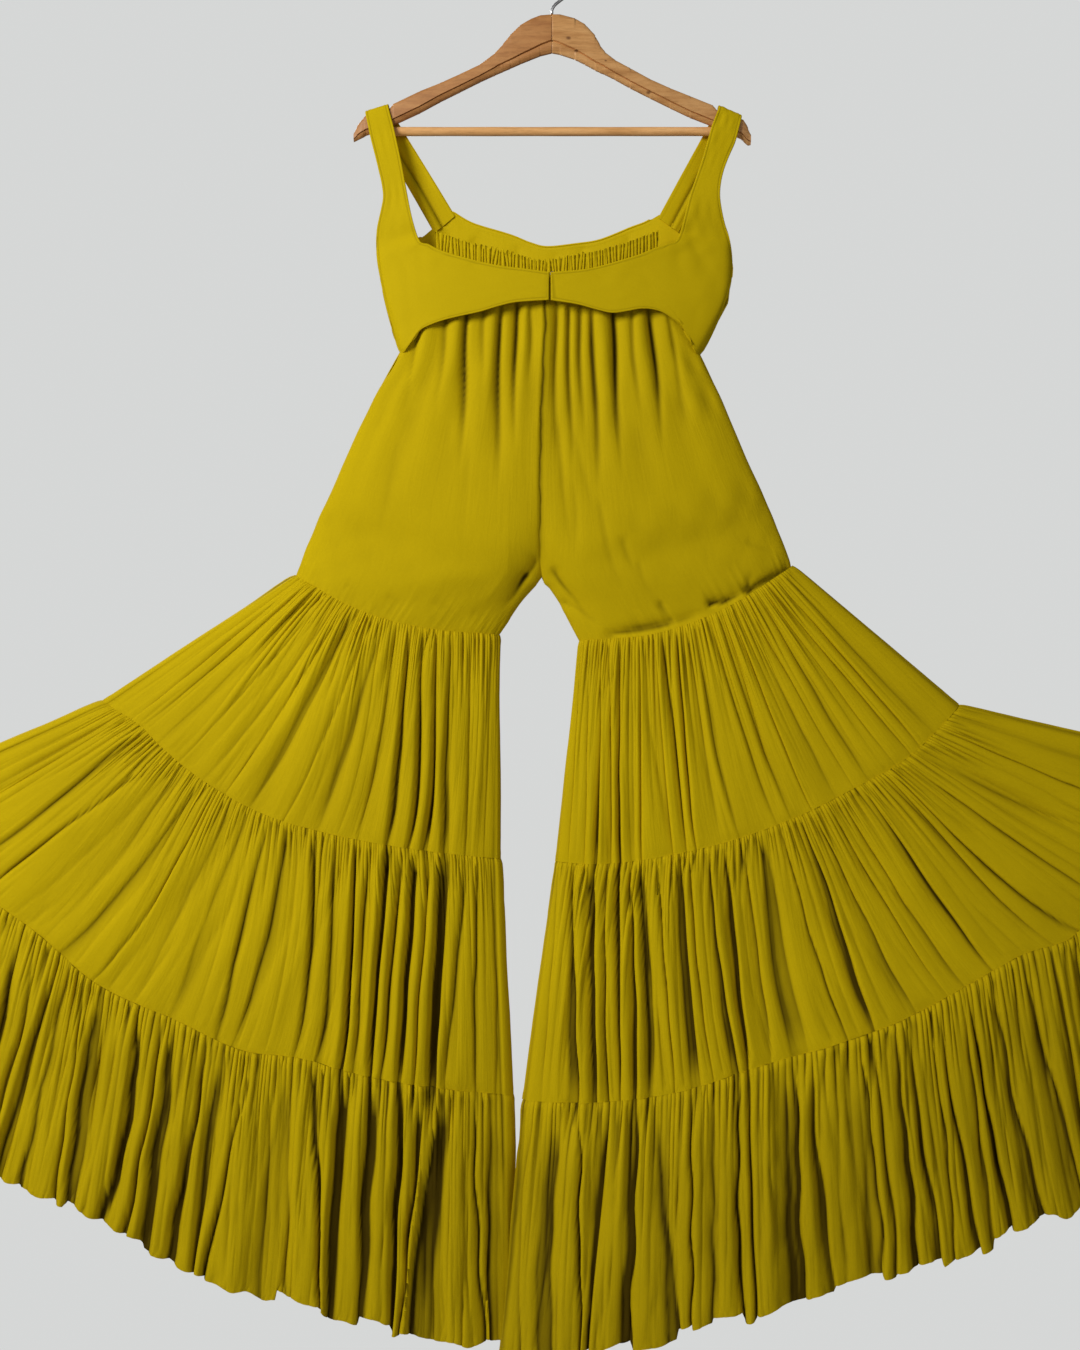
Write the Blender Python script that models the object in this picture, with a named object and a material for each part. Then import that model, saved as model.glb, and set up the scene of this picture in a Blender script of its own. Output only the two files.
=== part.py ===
"""Sharara jumpsuit on a two-part wooden hanger, its own back towards the viewer.

Metres, +Z up. The viewer is at -Y, +X is on the viewer's right. The origin is the inside of
the steel hook's top, where a rail carries it. Tables are in millimetres.
"""
import math

import bmesh
import bpy
import numpy as np

for old in list(bpy.data.objects):
    bpy.data.objects.remove(old, do_unlink=True)

MM = 0.001
CLOTH = 1.4            # wall of the tiers and the yoke, mm
BAND = 1.6             # wall of the bodice, faced and pressed, mm
SEAM = 0.45            # gap left between two sewn pieces, mm
WIRE = 1.7             # radius of the hook's wire, mm
BAR_RADIUS = 5.0       # trouser bar, mm
BAR_Y = 17.5
BAR_Z = -181.0
ARM_SWEEP = 22.0       # how far the arms' tips stand behind the mitre, mm
ARM_REACH = 225.0
BAND_DEPTH = 24.0      # half depth of the bodice, back layer
FRONT_DEPTH = 20.0     # half depth of the bodice, front layer

# Waves round each tier, how deep they stand at its lower seam, and columns round the tube.
TIERS = {
    "upper": dict(waves=20, start=1.2, end=5.0, columns=128, rows=2),
    "middle": dict(waves=26, start=5.0, end=8.0, columns=128, rows=2),
    "hem": dict(waves=32, start=8.0, end=13.0, columns=128, rows=2),
}

# Each leg's seams, from its inner edge to its outer edge, as (x, z).
LEG_SEAMS = {
    "left": {
        "knee": [(-61, -750), (-134, -744), (-207, -726), (-286, -685)],
        "upper": [(-62, -1000), (-125, -992), (-190, -982), (-256, -968), (-323, -947),
                  (-390, -909), (-435, -873), (-458, -851), (-500, -826)],
        "middle": [(-49, -1265), (-125, -1254), (-201, -1240), (-278, -1218), (-344, -1208),
                   (-410, -1177), (-498, -1137), (-564, -1082), (-610, -1049), (-673, -996),
                   (-742, -930)],
        "hem": [(-44, -1545), (-135, -1528), (-228, -1505), (-310, -1479), (-387, -1451),
                (-474, -1407), (-540, -1372), (-607, -1350), (-720, -1281), (-842, -1193)],
    },
    "right": {
        "knee": [(32, -757), (116, -749), (193, -720), (268, -674)],
        "upper": [(8, -1004), (53, -1005), (98, -1000), (152, -990), (208, -975), (274, -950),
                  (340, -917), (386, -892), (420, -864), (453, -832)],
        "middle": [(-28, -1269), (53, -1267), (141, -1254), (229, -1225), (306, -1203),
                   (383, -1175), (450, -1140), (515, -1104), (560, -1090), (582, -1075),
                   (651, -1000), (710, -891)],
        "hem": [(-53, -1553), (31, -1543), (97, -1532), (163, -1511), (234, -1490),
                (316, -1465), (382, -1453), (459, -1426), (536, -1389), (580, -1380),
                (692, -1286), (800, -1154)],
    },
}
# Which way the yoke runs into the knee seam, at its inner edge and at its side.
YOKE_RUN = {"left": ((-24, 0, -34), (-13, 0, -34)), "right": ((23, 0, -42), (12, 0, -30))}
# Half depth of the leg at each seam, and where the inner edge stands in y (left, right).
LEG_DEPTH = {"knee": 20.0, "upper": 26.0, "middle": 32.0, "hem": 38.0}
LEG_INNER_Y = {"knee": (0, 0), "upper": (0, 0), "middle": (7, -7), "hem": (15, -15)}

# Yoke rows from the top: centre x, centre z, side x, side z, sag, depth at the centre,
# depth at the side, roundness of the leg.
YOKE_LEFT = [
    (-8.0, -359.5, -130.0, -326.5, 18, 12.0, 6.5, 0),
    (-7.0, -405.1, -156.4, -376.0, 0, 14.0, 4.5, 0),
    (-9.0, -451.2, -169.1, -434.5, 0, 20.0, 0.3, 0),
    (-11.0, -501.8, -192.6, -475.8, 10, 25.0, 0.3, 0),
    (-12.3, -551.7, -212.1, -514.0, 20, 27.0, 0.3, 2),
    (-12.3, -601.3, -231.3, -556.3, 30, 26.0, 0.3, 6),
    (-12.3, -648.4, -246.6, -591.6, 40, 19.0, 0.3, 12),
    (-12.3, -683.4, -259.7, -619.8, 50, 3.0, 0.3, 18),
    (-37.2, -715.4, -272.8, -651.0, 60, 0.3, 0.3, 20),
    (-61.5, -749.3, -285.5, -685.2, 70, 0.3, 0.3, 20),
]
YOKE_RIGHT = [
    (-8.0, -359.5, 118.5, -325.5, 18, 12.0, 6.5, 0),
    (-7.0, -405.1, 147.5, -376.0, 0, 14.0, 4.5, 0),
    (-9.0, -451.2, 164.6, -436.5, 0, 20.0, 0.3, 0),
    (-11.0, -501.8, 181.4, -471.7, 10, 25.0, 0.3, 0),
    (-12.3, -551.7, 198.5, -510.0, 20, 27.0, 0.3, 2),
    (-12.3, -601.3, 216.2, -552.3, 30, 26.0, 0.3, 6),
    (-12.3, -648.4, 232.7, -588.6, 40, 19.0, 0.3, 12),
    (-12.3, -683.4, 244.8, -615.7, 55, 3.0, 0.3, 18),
    (9.0, -714.4, 255.9, -643.9, 68, 0.3, 0.3, 20),
    (32.5, -757.1, 267.7, -674.2, 80, 0.3, 0.3, 20),
]

# Back bodice stations from the shoulder round to the centre back:
# outer x, outer z, inner x, inner z, outer y, inner y, share of the band's own roundness.
BACK_LEFT = [
    (-203.5, -193.5, -177.7, -180.0, 8.0, 8.0, 0),
    (-193.7, -232.1, -169.0, -218.7, -1.0, -1.0, 0),
    (-188.7, -263.0, -161.7, -256.8, -7.0, -9.0, 0),
    (-195.6, -298.0, -154.7, -289.4, -4.5, -14.0, 0.1),
    (-194.9, -332.6, -146.7, -313.2, 0, 0, 1),
    (-185.9, -378.6, -137.8, -316.8, 0, 0, 1),
    (-169.1, -434.6, -124.3, -323.8, 0, 0, 1),
    (-146.9, -412.6, -107.6, -329.8, 0, 0, 1),
    (-118.8, -401.4, -82.1, -336.8, 0, 0, 1),
    (-79.8, -393.2, -55.5, -342.7, 0, 0, 1),
    (-44.4, -383.7, -26.7, -346.2, 0, 0, 1),
    (-3.0, -380.7, -3.0, -349.7, 0, 0, 1),
]
BACK_RIGHT = [
    (205.9, -196.9, 178.9, -180.0, 8.0, 8.0, 0),
    (192.5, -229.9, 167.9, -218.7, -1.0, -1.0, 0),
    (187.5, -260.7, 153.8, -260.1, -7.0, -9.0, 0),
    (193.3, -292.4, 145.5, -291.5, -4.5, -14.0, 0.1),
    (201.6, -325.9, 138.6, -312.3, 0, 0, 1),
    (197.1, -367.4, 127.4, -317.1, 0, 0, 1),
    (165.8, -435.7, 114.1, -321.9, 0, 0, 1),
    (145.5, -409.5, 95.1, -330.0, 0, 0, 1),
    (120.8, -392.5, 72.9, -336.9, 0, 0, 1),
    (97.4, -389.7, 53.0, -342.7, 0, 0, 1),
    (66.2, -394.6, 34.1, -346.6, 0, 0, 1),
    (30.8, -386.0, 15.3, -348.4, 0, 0, 1),
    (-2.0, -380.7, -2.0, -349.7, 0, 0, 1),
]
# The shoulder, where the strap crosses the arm: outer x, outer z, inner x, inner z.
SHOULDER = {
    "left": (-210.1, -160.1, -183.9, -153.1),
    "right": (213.8, -164.4, 187.4, -154.1),
}
# Where each front strap joins the bodice: outer x, outer z, inner x, inner z.
STRAP_FOOT = {
    "left": (-135.3, -291.9, -111.7, -272.1),
    "right": (145.7, -291.9, 122.2, -274.4),
}
FRONT_TOP = [(-195.1, -316.6), (-168.8, -308.8), (-148.7, -302.4), (-135.3, -291.8),
             (-111.8, -272.1), (-95.8, -281.8), (-81.2, -287.5), (-47.3, -297.4),
             (-24.7, -306.3), (-5.5, -310.8), (26.2, -307.5), (54.5, -303.1), (88.3, -289.9),
             (106.0, -283.5), (122.1, -274.6), (145.6, -292.2), (166.8, -305.2),
             (200.0, -318.0)]
FRONT_WAIST = [(-169.1, -434.1), (-89.0, -436.8), (-9.0, -439.6), (78.0, -438.0),
               (164.6, -436.1)]
WAISTBAND_TOP = [(-129.1, -301.2), (-91.3, -314.6), (-46.8, -325.7), (-12.3, -334.6),
                 (20.0, -329.0), (64.5, -320.1), (117.8, -300.1)]
WAISTBAND_HEIGHT = 22.0
WAISTBAND_Y = 12.5
WAISTBAND_RUCHES = 24

CLOSURE_Z = -351.4     # height of the hook and eye at the centre back

# Side lines of the bodice: z, left x, right x.
SIDE_LINES = [(-436, -169.0, 165.8), (-378, -186.0, 197.0), (-332, -194.9, 201.6),
              (-297, -196.5, 196.0)]

# Hanger arms: x, top z, bottom z.
ARM_LEFT = [
    (-0.2, -56.5, -98.9), (-13.4, -57.3, -102.0), (-24.6, -61.5, -106.2),
    (-35.8, -67.9, -110.4), (-47.0, -78.7, -115.1), (-54.9, -88.6, -118.3),
    (-63.8, -98.4, -121.9), (-80.7, -110.6, -129.1), (-103.2, -120.5, -139.6),
    (-125.8, -129.8, -150.0), (-148.5, -137.9, -161.5), (-179.2, -151.4, -174.5),
    (-181.7, -155.7, -176.1), (-210.6, -163.0, -184.8), (-212.3, -165.1, -185.7),
    (-220.3, -174.6, -189.9), (-224.3, -184.3, -191.4),
]
ARM_RIGHT = [
    (0.2, -56.5, -98.9), (9.0, -56.3, -100.4), (25.7, -60.4, -105.6), (37.0, -66.7, -110.9),
    (48.2, -78.7, -116.8), (53.8, -89.7, -119.4), (59.4, -97.3, -121.4), (70.7, -105.9, -126.7),
    (87.6, -114.4, -135.6), (110.1, -125.9, -146.1), (132.8, -135.2, -156.5),
    (155.5, -143.3, -166.4), (181.9, -152.8, -175.6), (184.8, -157.2, -177.1),
    (214.3, -167.1, -188.5), (216.7, -167.3, -190.6), (221.7, -175.7, -196.1),
    (225.2, -185.7, -194.8),
]
HOOK_PATH = [(0.0, -56.0), (0.0, -50.5), (3.2, -45.0), (10.0, -39.3), (17.0, -33.4),
             (21.7, -20.0), (18.8, -9.2), (10.9, -1.2), (0.0, 1.7), (-10.9, -1.2),
             (-18.8, -9.2), (-21.7, -20.0), (-20.4, -27.4), (-17.5, -32.8)]


def material(name, colour, roughness, metallic=0.0):
    """Makes one plain material."""
    made = bpy.data.materials.new(name)
    made.use_nodes = True
    shader = made.node_tree.nodes["Principled BSDF"]
    shader.inputs["Base Color"].default_value = (*colour, 1.0)
    shader.inputs["Roughness"].default_value = roughness
    shader.inputs["Metallic"].default_value = metallic
    return made


def smooth_line(points, count):
    """Runs a smooth line through the points and returns count points, evenly spaced on it."""
    p = np.array(points, float)
    padded = np.vstack([2 * p[0] - p[1], p, 2 * p[-1] - p[-2]])
    fine = []
    for i in range(1, len(padded) - 2):
        a, b, c, d = padded[i - 1:i + 3]
        for t in np.linspace(0, 1, 24, endpoint=False):
            fine.append(0.5 * (2 * b + (c - a) * t + (2 * a - 5 * b + 4 * c - d) * t ** 2
                               + (3 * b - a - 3 * c + d) * t ** 3))
    fine.append(p[-1])
    fine = np.array(fine)
    step = np.linalg.norm(np.diff(fine, axis=0), axis=1)
    run = np.concatenate([[0], np.cumsum(step)])
    where = np.linspace(0, run[-1], count)
    return np.stack([np.interp(where, run, fine[:, k]) for k in range(p.shape[1])], axis=1)


def smooth_table(rows, between):
    """Fills a table's rows with smooth in-between rows."""
    p = np.array(rows, float)
    padded = np.vstack([2 * p[0] - p[1], p, 2 * p[-1] - p[-2]])
    out = []
    for i in range(1, len(padded) - 2):
        a, b, c, d = padded[i - 1:i + 3]
        for t in np.linspace(0, 1, between, endpoint=False):
            out.append(0.5 * (2 * b + (c - a) * t + (2 * a - 5 * b + 4 * c - d) * t ** 2
                              + (3 * b - a - 3 * c + d) * t ** 3))
    out.append(p[-1])
    return np.array(out)


def unit(v):
    """Scales vectors to length one."""
    return v / np.maximum(np.linalg.norm(v, axis=-1, keepdims=True), 1e-12)


def normals_of(grid, closed):
    """Gives a grid's surface normals from its rows and columns."""
    if closed:
        across = np.roll(grid, -1, axis=1) - np.roll(grid, 1, axis=1)
    else:
        across = np.gradient(grid, axis=1)
    down = np.gradient(grid, axis=0)
    return unit(np.cross(across, down))


def solid_sheet(name, inner, outer, closed, slot):
    """Closes a sheet's two faces, rows x columns x 3 in millimetres, into one solid."""
    rows, columns = inner.shape[:2]
    points = np.concatenate([inner.reshape(-1, 3), outer.reshape(-1, 3)]) * MM
    size = rows * columns

    def at(side, r, c):
        return side * size + r * columns + c % columns

    faces = []
    spans = columns if closed else columns - 1
    for r in range(rows - 1):
        for c in range(spans):
            for side in (0, 1):
                faces.append((at(side, r, c), at(side, r, c + 1),
                              at(side, r + 1, c + 1), at(side, r + 1, c)))
    for c in range(spans):
        for r in (0, rows - 1):
            faces.append((at(0, r, c), at(0, r, c + 1), at(1, r, c + 1), at(1, r, c)))
    if not closed:
        for r in range(rows - 1):
            for c in (0, columns - 1):
                faces.append((at(0, r, c), at(0, r + 1, c), at(1, r + 1, c), at(1, r, c)))
    return finish(name, points, faces, slot, True)


def finish(name, points, faces, slot, smooth):
    """Makes the named object from points in metres, with its faces turned outward."""
    mesh = bpy.data.meshes.new(name)
    mesh.from_pydata([tuple(p) for p in points], [], faces)
    work = bmesh.new()
    work.from_mesh(mesh)
    bmesh.ops.recalc_face_normals(work, faces=work.faces)
    work.to_mesh(mesh)
    work.free()
    for face in mesh.polygons:
        face.use_smooth = smooth
    made = bpy.data.objects.new(name, mesh)
    bpy.context.scene.collection.objects.link(made)
    mesh.materials.append(slot)
    return made


def rod(name, path, radius, sides, slot):
    """Sweeps a round section along a path, x y z in millimetres, with flat ends."""
    p = np.array(path, float)
    along = unit(np.gradient(p, axis=0))
    side = unit(np.cross(along, np.array([0.0, 1.0, 0.0])))
    flat = np.linalg.norm(np.cross(along, np.array([0.0, 1.0, 0.0])), axis=1) < 0.2
    side[flat] = np.array([1.0, 0.0, 0.0])
    up = unit(np.cross(side, along))
    turn = np.arange(sides) * 2 * math.pi / sides
    ring = (side[:, None] * np.cos(turn)[None, :, None]
            + up[:, None] * np.sin(turn)[None, :, None])
    points = (p[:, None] + radius * ring).reshape(-1, 3) * MM
    count = len(p)
    faces = []
    for i in range(count - 1):
        for k in range(sides):
            n = (k + 1) % sides
            faces.append((i * sides + k, i * sides + n, (i + 1) * sides + n,
                          (i + 1) * sides + k))
    faces.append(tuple(range(sides)))
    faces.append(tuple((count - 1) * sides + k for k in range(sides)))
    return finish(name, points, faces, slot, True)


def arm_mid(x):
    """Gives the y of the arms' middle: they sweep back from the mitre to the tips."""
    return ARM_SWEEP * (np.abs(x) / ARM_REACH) ** 1.25


def arm(name, table, slot):
    """Lofts one wooden arm through eight-cornered sections."""
    points = []
    for x, top, bottom in table:
        reach = abs(x) / ARM_REACH
        half = 7.0 - 0.5 * reach
        tall = top - bottom
        ease = min(3.0, 0.3 * tall)
        under = min(4.5, 0.3 * tall)
        if abs(x) > 218.9:
            half = 4.6
        mid = float(arm_mid(x))
        section = [(-half, bottom + under), (-half, top - ease), (-half + ease, top),
                   (half - ease, top), (half, top - ease), (half, bottom + under),
                   (half - ease, bottom), (-half + ease, bottom)]
        points.extend((x * MM, (mid + y) * MM, z * MM) for y, z in section)
    count = len(table)
    faces = []
    for i in range(count - 1):
        for k in range(8):
            n = (k + 1) % 8
            faces.append((i * 8 + k, i * 8 + n, (i + 1) * 8 + n, (i + 1) * 8 + k))
    faces.append(tuple(range(8)))
    faces.append(tuple((count - 1) * 8 + k for k in range(8)))
    return finish(name, points, faces, slot, False)


def cut_socket(target, side):
    """Bores the arm's underside for the end of the trouser bar."""
    bpy.ops.mesh.primitive_cylinder_add(
        vertices=16, radius=(BAR_RADIUS + 0.35) * MM, depth=100 * MM,
        location=(side * 153.9 * MM, BAR_Y * MM, BAR_Z * MM), rotation=(0, math.pi / 2, 0))
    tool = bpy.context.object
    tool.name = "socket_cutter"
    tool.hide_render = True
    tool.display_type = "WIRE"
    cut = target.modifiers.new("socket", "BOOLEAN")
    cut.operation = "DIFFERENCE"
    cut.solver = "EXACT"
    cut.object = tool
    view = bpy.context.evaluated_depsgraph_get()
    mesh = bpy.data.meshes.new_from_object(target.evaluated_get(view))
    target.modifiers.clear()
    target.data = mesh
    bpy.data.objects.remove(tool, do_unlink=True)


def leg_loops(side):
    """Gives each seam's loop round one leg, 720 points: inner edge, near layer, outer edge,
    far layer. Returns the loops and the outward direction at each point."""
    names = ["knee", "upper", "middle", "hem"]
    hand = 0 if side == "left" else 1
    angle = np.linspace(0, 2 * math.pi, 4001)
    share = (1 - np.cos(angle)) / 2
    loops = {}
    for name in names:
        line = smooth_line(LEG_SEAMS[side][name], 400)
        at = share * 399
        x = np.interp(at, np.arange(400), line[:, 0])
        z = np.interp(at, np.arange(400), line[:, 1])
        y = LEG_INNER_Y[name][hand] * (1 - share) ** 2 - LEG_DEPTH[name] * np.sin(angle)
        loop = np.stack([x, y, z], axis=1)
        run = np.concatenate([[0], np.cumsum(np.linalg.norm(np.diff(loop, axis=0), axis=1))])
        even = np.linspace(0, run[-1], 720, endpoint=False)
        loops[name] = np.stack([np.interp(even, run, loop[:, k]) for k in range(3)], axis=1)
    outward = {}
    for i, name in enumerate(names):
        above = loops[names[max(i - 1, 0)]]
        below = loops[names[min(i + 1, 3)]]
        along = unit(np.roll(loops[name], -1, axis=0) - np.roll(loops[name], 1, axis=0))
        if name == "knee":
            turn = np.linspace(0, 2 * math.pi, 720, endpoint=False)
            part = ((1 - np.cos(turn)) / 2)[:, None]
            inner_run, side_run = (np.array(run, float) for run in YOKE_RUN[side])
            above = above - unit(inner_run * (1 - part) + side_run * part)
            below = above + unit(below - loops[name]) + (loops[name] - above)
        out = unit(np.cross(along, unit(below - above)))
        outward[name] = out if side == "left" else -out
    return loops, outward


def round_leg(values, t):
    """Reads a loop's values at shares t of the way round."""
    at = (t % 1.0) * len(values)
    low = np.floor(at).astype(int)
    part = (at - low)[:, None]
    return values[low % len(values)] * (1 - part) + values[(low + 1) % len(values)] * part


def uneven(w, side):
    """Shifts the waves round a leg so that their widths differ a little."""
    lean = 0.0 if side == "left" else 1.7
    return (w + 0.005 * np.sin(2 * math.pi * 3 * w + 1.0 + lean)
            + 0.003 * np.sin(2 * math.pi * 7 * w + 2.0 + lean))


def wave_height(w, side):
    """Varies the waves' depth round a leg; they are lower at its two edges."""
    lean = 0.4 if side == "left" else 2.1
    edges = 0.45 + 0.55 * np.abs(np.sin(2 * math.pi * w)) ** 0.6
    return edges * (1 + 0.22 * np.sin(2 * math.pi * 4 * w + lean)
                    + 0.16 * np.sin(2 * math.pi * 9 * w + 2 * lean))


def tier(name, side, upper, lower, waves_above, plan, slot):
    """Builds one gathered tier: a tube between two seams whose waves change from those of the
    tier above to its own and stand deeper towards its lower seam."""
    loops, outward = leg_loops(side)
    w = np.arange(plan["columns"]) / plan["columns"]
    t = uneven(w, side)
    top = round_leg(loops[upper], t)
    bottom = round_leg(loops[lower], t)
    down = unit(bottom - top)
    top = top + down * (SEAM if upper == "knee" else SEAM / 2)
    bottom = bottom - down * SEAM / 2
    top_out = unit(round_leg(outward[upper], t))
    bottom_out = unit(round_leg(outward[lower], t))
    height = wave_height(w, side)
    first = plan["start"] * np.cos(2 * math.pi * waves_above * w)
    last = plan["end"] * np.cos(2 * math.pi * plan["waves"] * w)
    inner = []
    outer = []
    for v in np.linspace(0, 1, plan["rows"] + 1):
        ease = v * v * (3 - 2 * v)
        out = unit(top_out * (1 - v) + bottom_out * v)
        lift = height * (first * (1 - ease) + last * ease)
        line = top * (1 - v) + bottom * v + out * lift[:, None]
        inner.append(line)
        outer.append(line + out * CLOTH)
    return solid_sheet(name, np.array(inner), np.array(outer), True, slot)


def waistband_base(k):
    """Gives the elastic strip's y at k, from -1 at its left end to 1 at its right end."""
    return -WAISTBAND_Y + 6.0 * np.abs(k) ** 2.5


def waistband_foot(u, hand):
    """Gives the elastic strip's lower edge from the centre back (0) to one end (1)."""
    line = smooth_line(WAISTBAND_TOP, 400)
    k = np.linspace(-1, 1, 400)
    x = -9.0 + hand * 0.4 + (line[-1 if hand > 0 else 0, 0] + 9.0 - hand * 1.4) * u
    order = np.argsort(line[:, 0])
    z = np.interp(x, line[order, 0], line[order, 2 - 1]) - WAISTBAND_HEIGHT
    y = waistband_base(np.interp(x, line[order, 0], k[order]))
    return x, y, z


def yoke(name, rows, far, gathers, columns, slot):
    """Builds one plain upper-leg panel between the centre seam or inseam and the side seam."""
    table = np.array(rows, float)
    if far:
        table = table[2:].copy()
        table[0, 1] = -440.0
        table[:, 5] = np.minimum(table[:, 5] * 0.9, table[:, 5])
    sign = 1.0 if far else -1.0
    k = np.linspace(0, 1, columns + 1)
    u = 0.5 * k + 0.5 * (1 - np.cos(math.pi * k)) / 2
    hand = 1.0 if table[0, 2] > 0 else -1.0
    inner = []
    for cx, cz, sx, sz, sag, centre, edge, leg in table:
        cx = cx + hand * 0.4
        x = cx + (sx - cx) * u
        z = cz + (sz - cz) * u - sag * u * (1 - u)
        arc = np.sqrt(np.clip(1 - u * u, 0, 1))
        round_part = np.sqrt(np.clip(4 * u * (1 - u), 0, 1))
        y = sign * (edge + (centre - edge) * arc + leg * round_part)
        inner.append(np.stack([x, y, z], axis=1))
    inner = np.array(inner)
    if gathers:
        window = np.clip(5 * np.minimum(k, 1 - k), 0, 1)
        drop = np.clip((inner[:, :, 2] + 620) / 180, 0, 1)
        ripple = -1.8 * np.cos(2 * math.pi * gathers * k) * window
        inner[:, :, 1] += ripple[None, :] * drop
    side = "left" if hand < 0 else "right"
    loops, outward = leg_loops(side)
    knee = smooth_line(LEG_SEAMS[side]["knee"], 400)
    half = slice(360, 720) if far else slice(0, 361)
    near_x = loops["knee"][half, 0]
    near_out = outward["knee"][half]
    inner[-1, :, 0] = np.interp(u * 399, np.arange(400), knee[:, 0])
    inner[-1, :, 2] = np.interp(u * 399, np.arange(400), knee[:, 1]) + SEAM * 0.75
    if not far:
        top_x, top_y, top_z = waistband_foot(u, hand)
        inner[0] = np.stack([top_x, top_y, top_z - SEAM], axis=1)
    else:
        inner[0, :, 2] -= SEAM / 2
    out = normals_of(inner, False)
    if out[1, columns // 2, 1] * sign < 0:
        out = -out
    for c in range(columns + 1):
        out[-1, c] = near_out[np.argmin(np.abs(near_x - inner[-1, c, 0]))]
    inseam_from = 6 if far else 8
    out[:inseam_from, 0, 0] = 0
    out = unit(out)
    return solid_sheet(name, inner, inner + out * CLOTH, False, slot)


def side_x(z, right):
    """Gives the bodice's side line at height z."""
    lines = np.array(SIDE_LINES)
    return np.interp(z, lines[:, 0], lines[:, 2 if right else 1])


def band_depth(x, z, depth, edge):
    """Gives how far the bodice stands from its side seams' plane at x, z."""
    x = np.asarray(x, float)
    limit = np.where(x > -2.4, side_x(z, True), side_x(z, False))
    share = np.clip((x + 2.4) / (limit + 2.4), 0, 1)
    return edge + (depth - edge) * np.sqrt(np.clip(1 - share ** 2, 0, 1))


def band_edge(z):
    """Gives the side seam's own y: the legs' back lies under the band at the waist."""
    return 0.3 + 2.2 * np.clip((-345.0 - z) / 90.0, 0, 1)


def shoulder_rows(side, back):
    """Gives the strap's rows over the arm: outer x z, inner x z, y from the arm's middle."""
    ox, oz, ix, iz = SHOULDER[side]
    sign = -1.0 if back else 1.0
    over = [(0.0, 0.25), (0.0, 5.0), (-2.8, 7.3)]
    return [(ox, oz + drop, ix, iz + drop, sign * y) for drop, y in over]


def back_bodice(name, side, rows, slot):
    """Builds one back panel, strap and band in one, from its two edges."""
    columns = 6
    table = smooth_table(rows, 2)
    k = np.linspace(0, 1, columns + 1)[None, :]
    x = table[:, 0:1] * (1 - k) + table[:, 2:3] * k
    z = table[:, 1:2] * (1 - k) + table[:, 3:4] * k
    strap = table[:, 4:5] * (1 - k) + table[:, 5:6] * k
    share = np.clip(table[:, 6:7], 0, 1)
    band = -band_depth(x, z, BAND_DEPTH, band_edge(z))
    y = strap * (1 - share) + band * share
    grid = np.stack([x, y, z], axis=2)
    over = []
    for ox, oz, ix, iz, away in shoulder_rows(side, True):
        line_x = ox + (ix - ox) * k[0]
        line_z = oz + (iz - oz) * k[0]
        over.append(np.stack([line_x, arm_mid(line_x) + away, line_z], axis=1))
    step = (np.array(over[2]) * 0.55 + grid[0] * 0.45)
    step[:, 1] = np.minimum(step[:, 1], arm_mid(step[:, 0]) - 7.6)
    grid = np.concatenate([np.array(over), step[None], grid])
    out = normals_of(grid, False)
    if out[len(out) - 3, 3, 1] > 0:
        out = -out
    out[:2] = np.array([0.0, 0.0, 1.0])
    out[1] = unit(np.array([0.0, -0.6, 1.0]))
    out[-1, :, 0] = 0
    out = unit(out)
    return solid_sheet(name, grid, grid + out * BAND, False, slot)


def front_strap(name, side, slot):
    """Builds one front strap, from the arm's top down its far side to the bodice."""
    ox, oz, ix, iz = SHOULDER[side]
    fx, fz, gx, gz = STRAP_FOOT[side]
    columns = 3
    k = np.linspace(0, 1, columns + 1)
    grid = []
    for rx, rz, qx, qz, away in shoulder_rows(side, False):
        x = rx + (qx - rx) * k
        z = rz + (qz - rz) * k
        grid.append(np.stack([x, arm_mid(x) + away, z], axis=1))
    foot_out = float(band_depth(fx, fz, FRONT_DEPTH, band_edge(fz)))
    foot_in = float(band_depth(gx, gz, FRONT_DEPTH, band_edge(gz)))
    for share in (0.1, 0.25, 0.5, 0.75, 1.0):
        part = share if share < 1 else 0.996
        ax, az = ox + (fx - ox) * part, oz + (fz - oz) * part
        bx, bz = ix + (gx - ix) * part, iz + (gz - iz) * part
        x = ax + (bx - ax) * k
        z = az + (bz - az) * k
        high = arm_mid(x) + 7.9
        low = foot_out + (foot_in - foot_out) * k
        ease = np.clip((share - 0.25) / 0.75, 0, 1)
        y = high * (1 - ease) + low * ease
        grid.append(np.stack([x, y, z], axis=1))
    grid = np.array(grid)
    out = normals_of(grid, False)
    if out[-2, 1, 1] < 0:
        out = -out
    out[0] = np.array([0.0, 0.0, 1.0])
    out[1] = unit(np.array([0.0, 0.6, 1.0]))
    return solid_sheet(name, grid, grid + out * BAND, False, slot)


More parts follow.
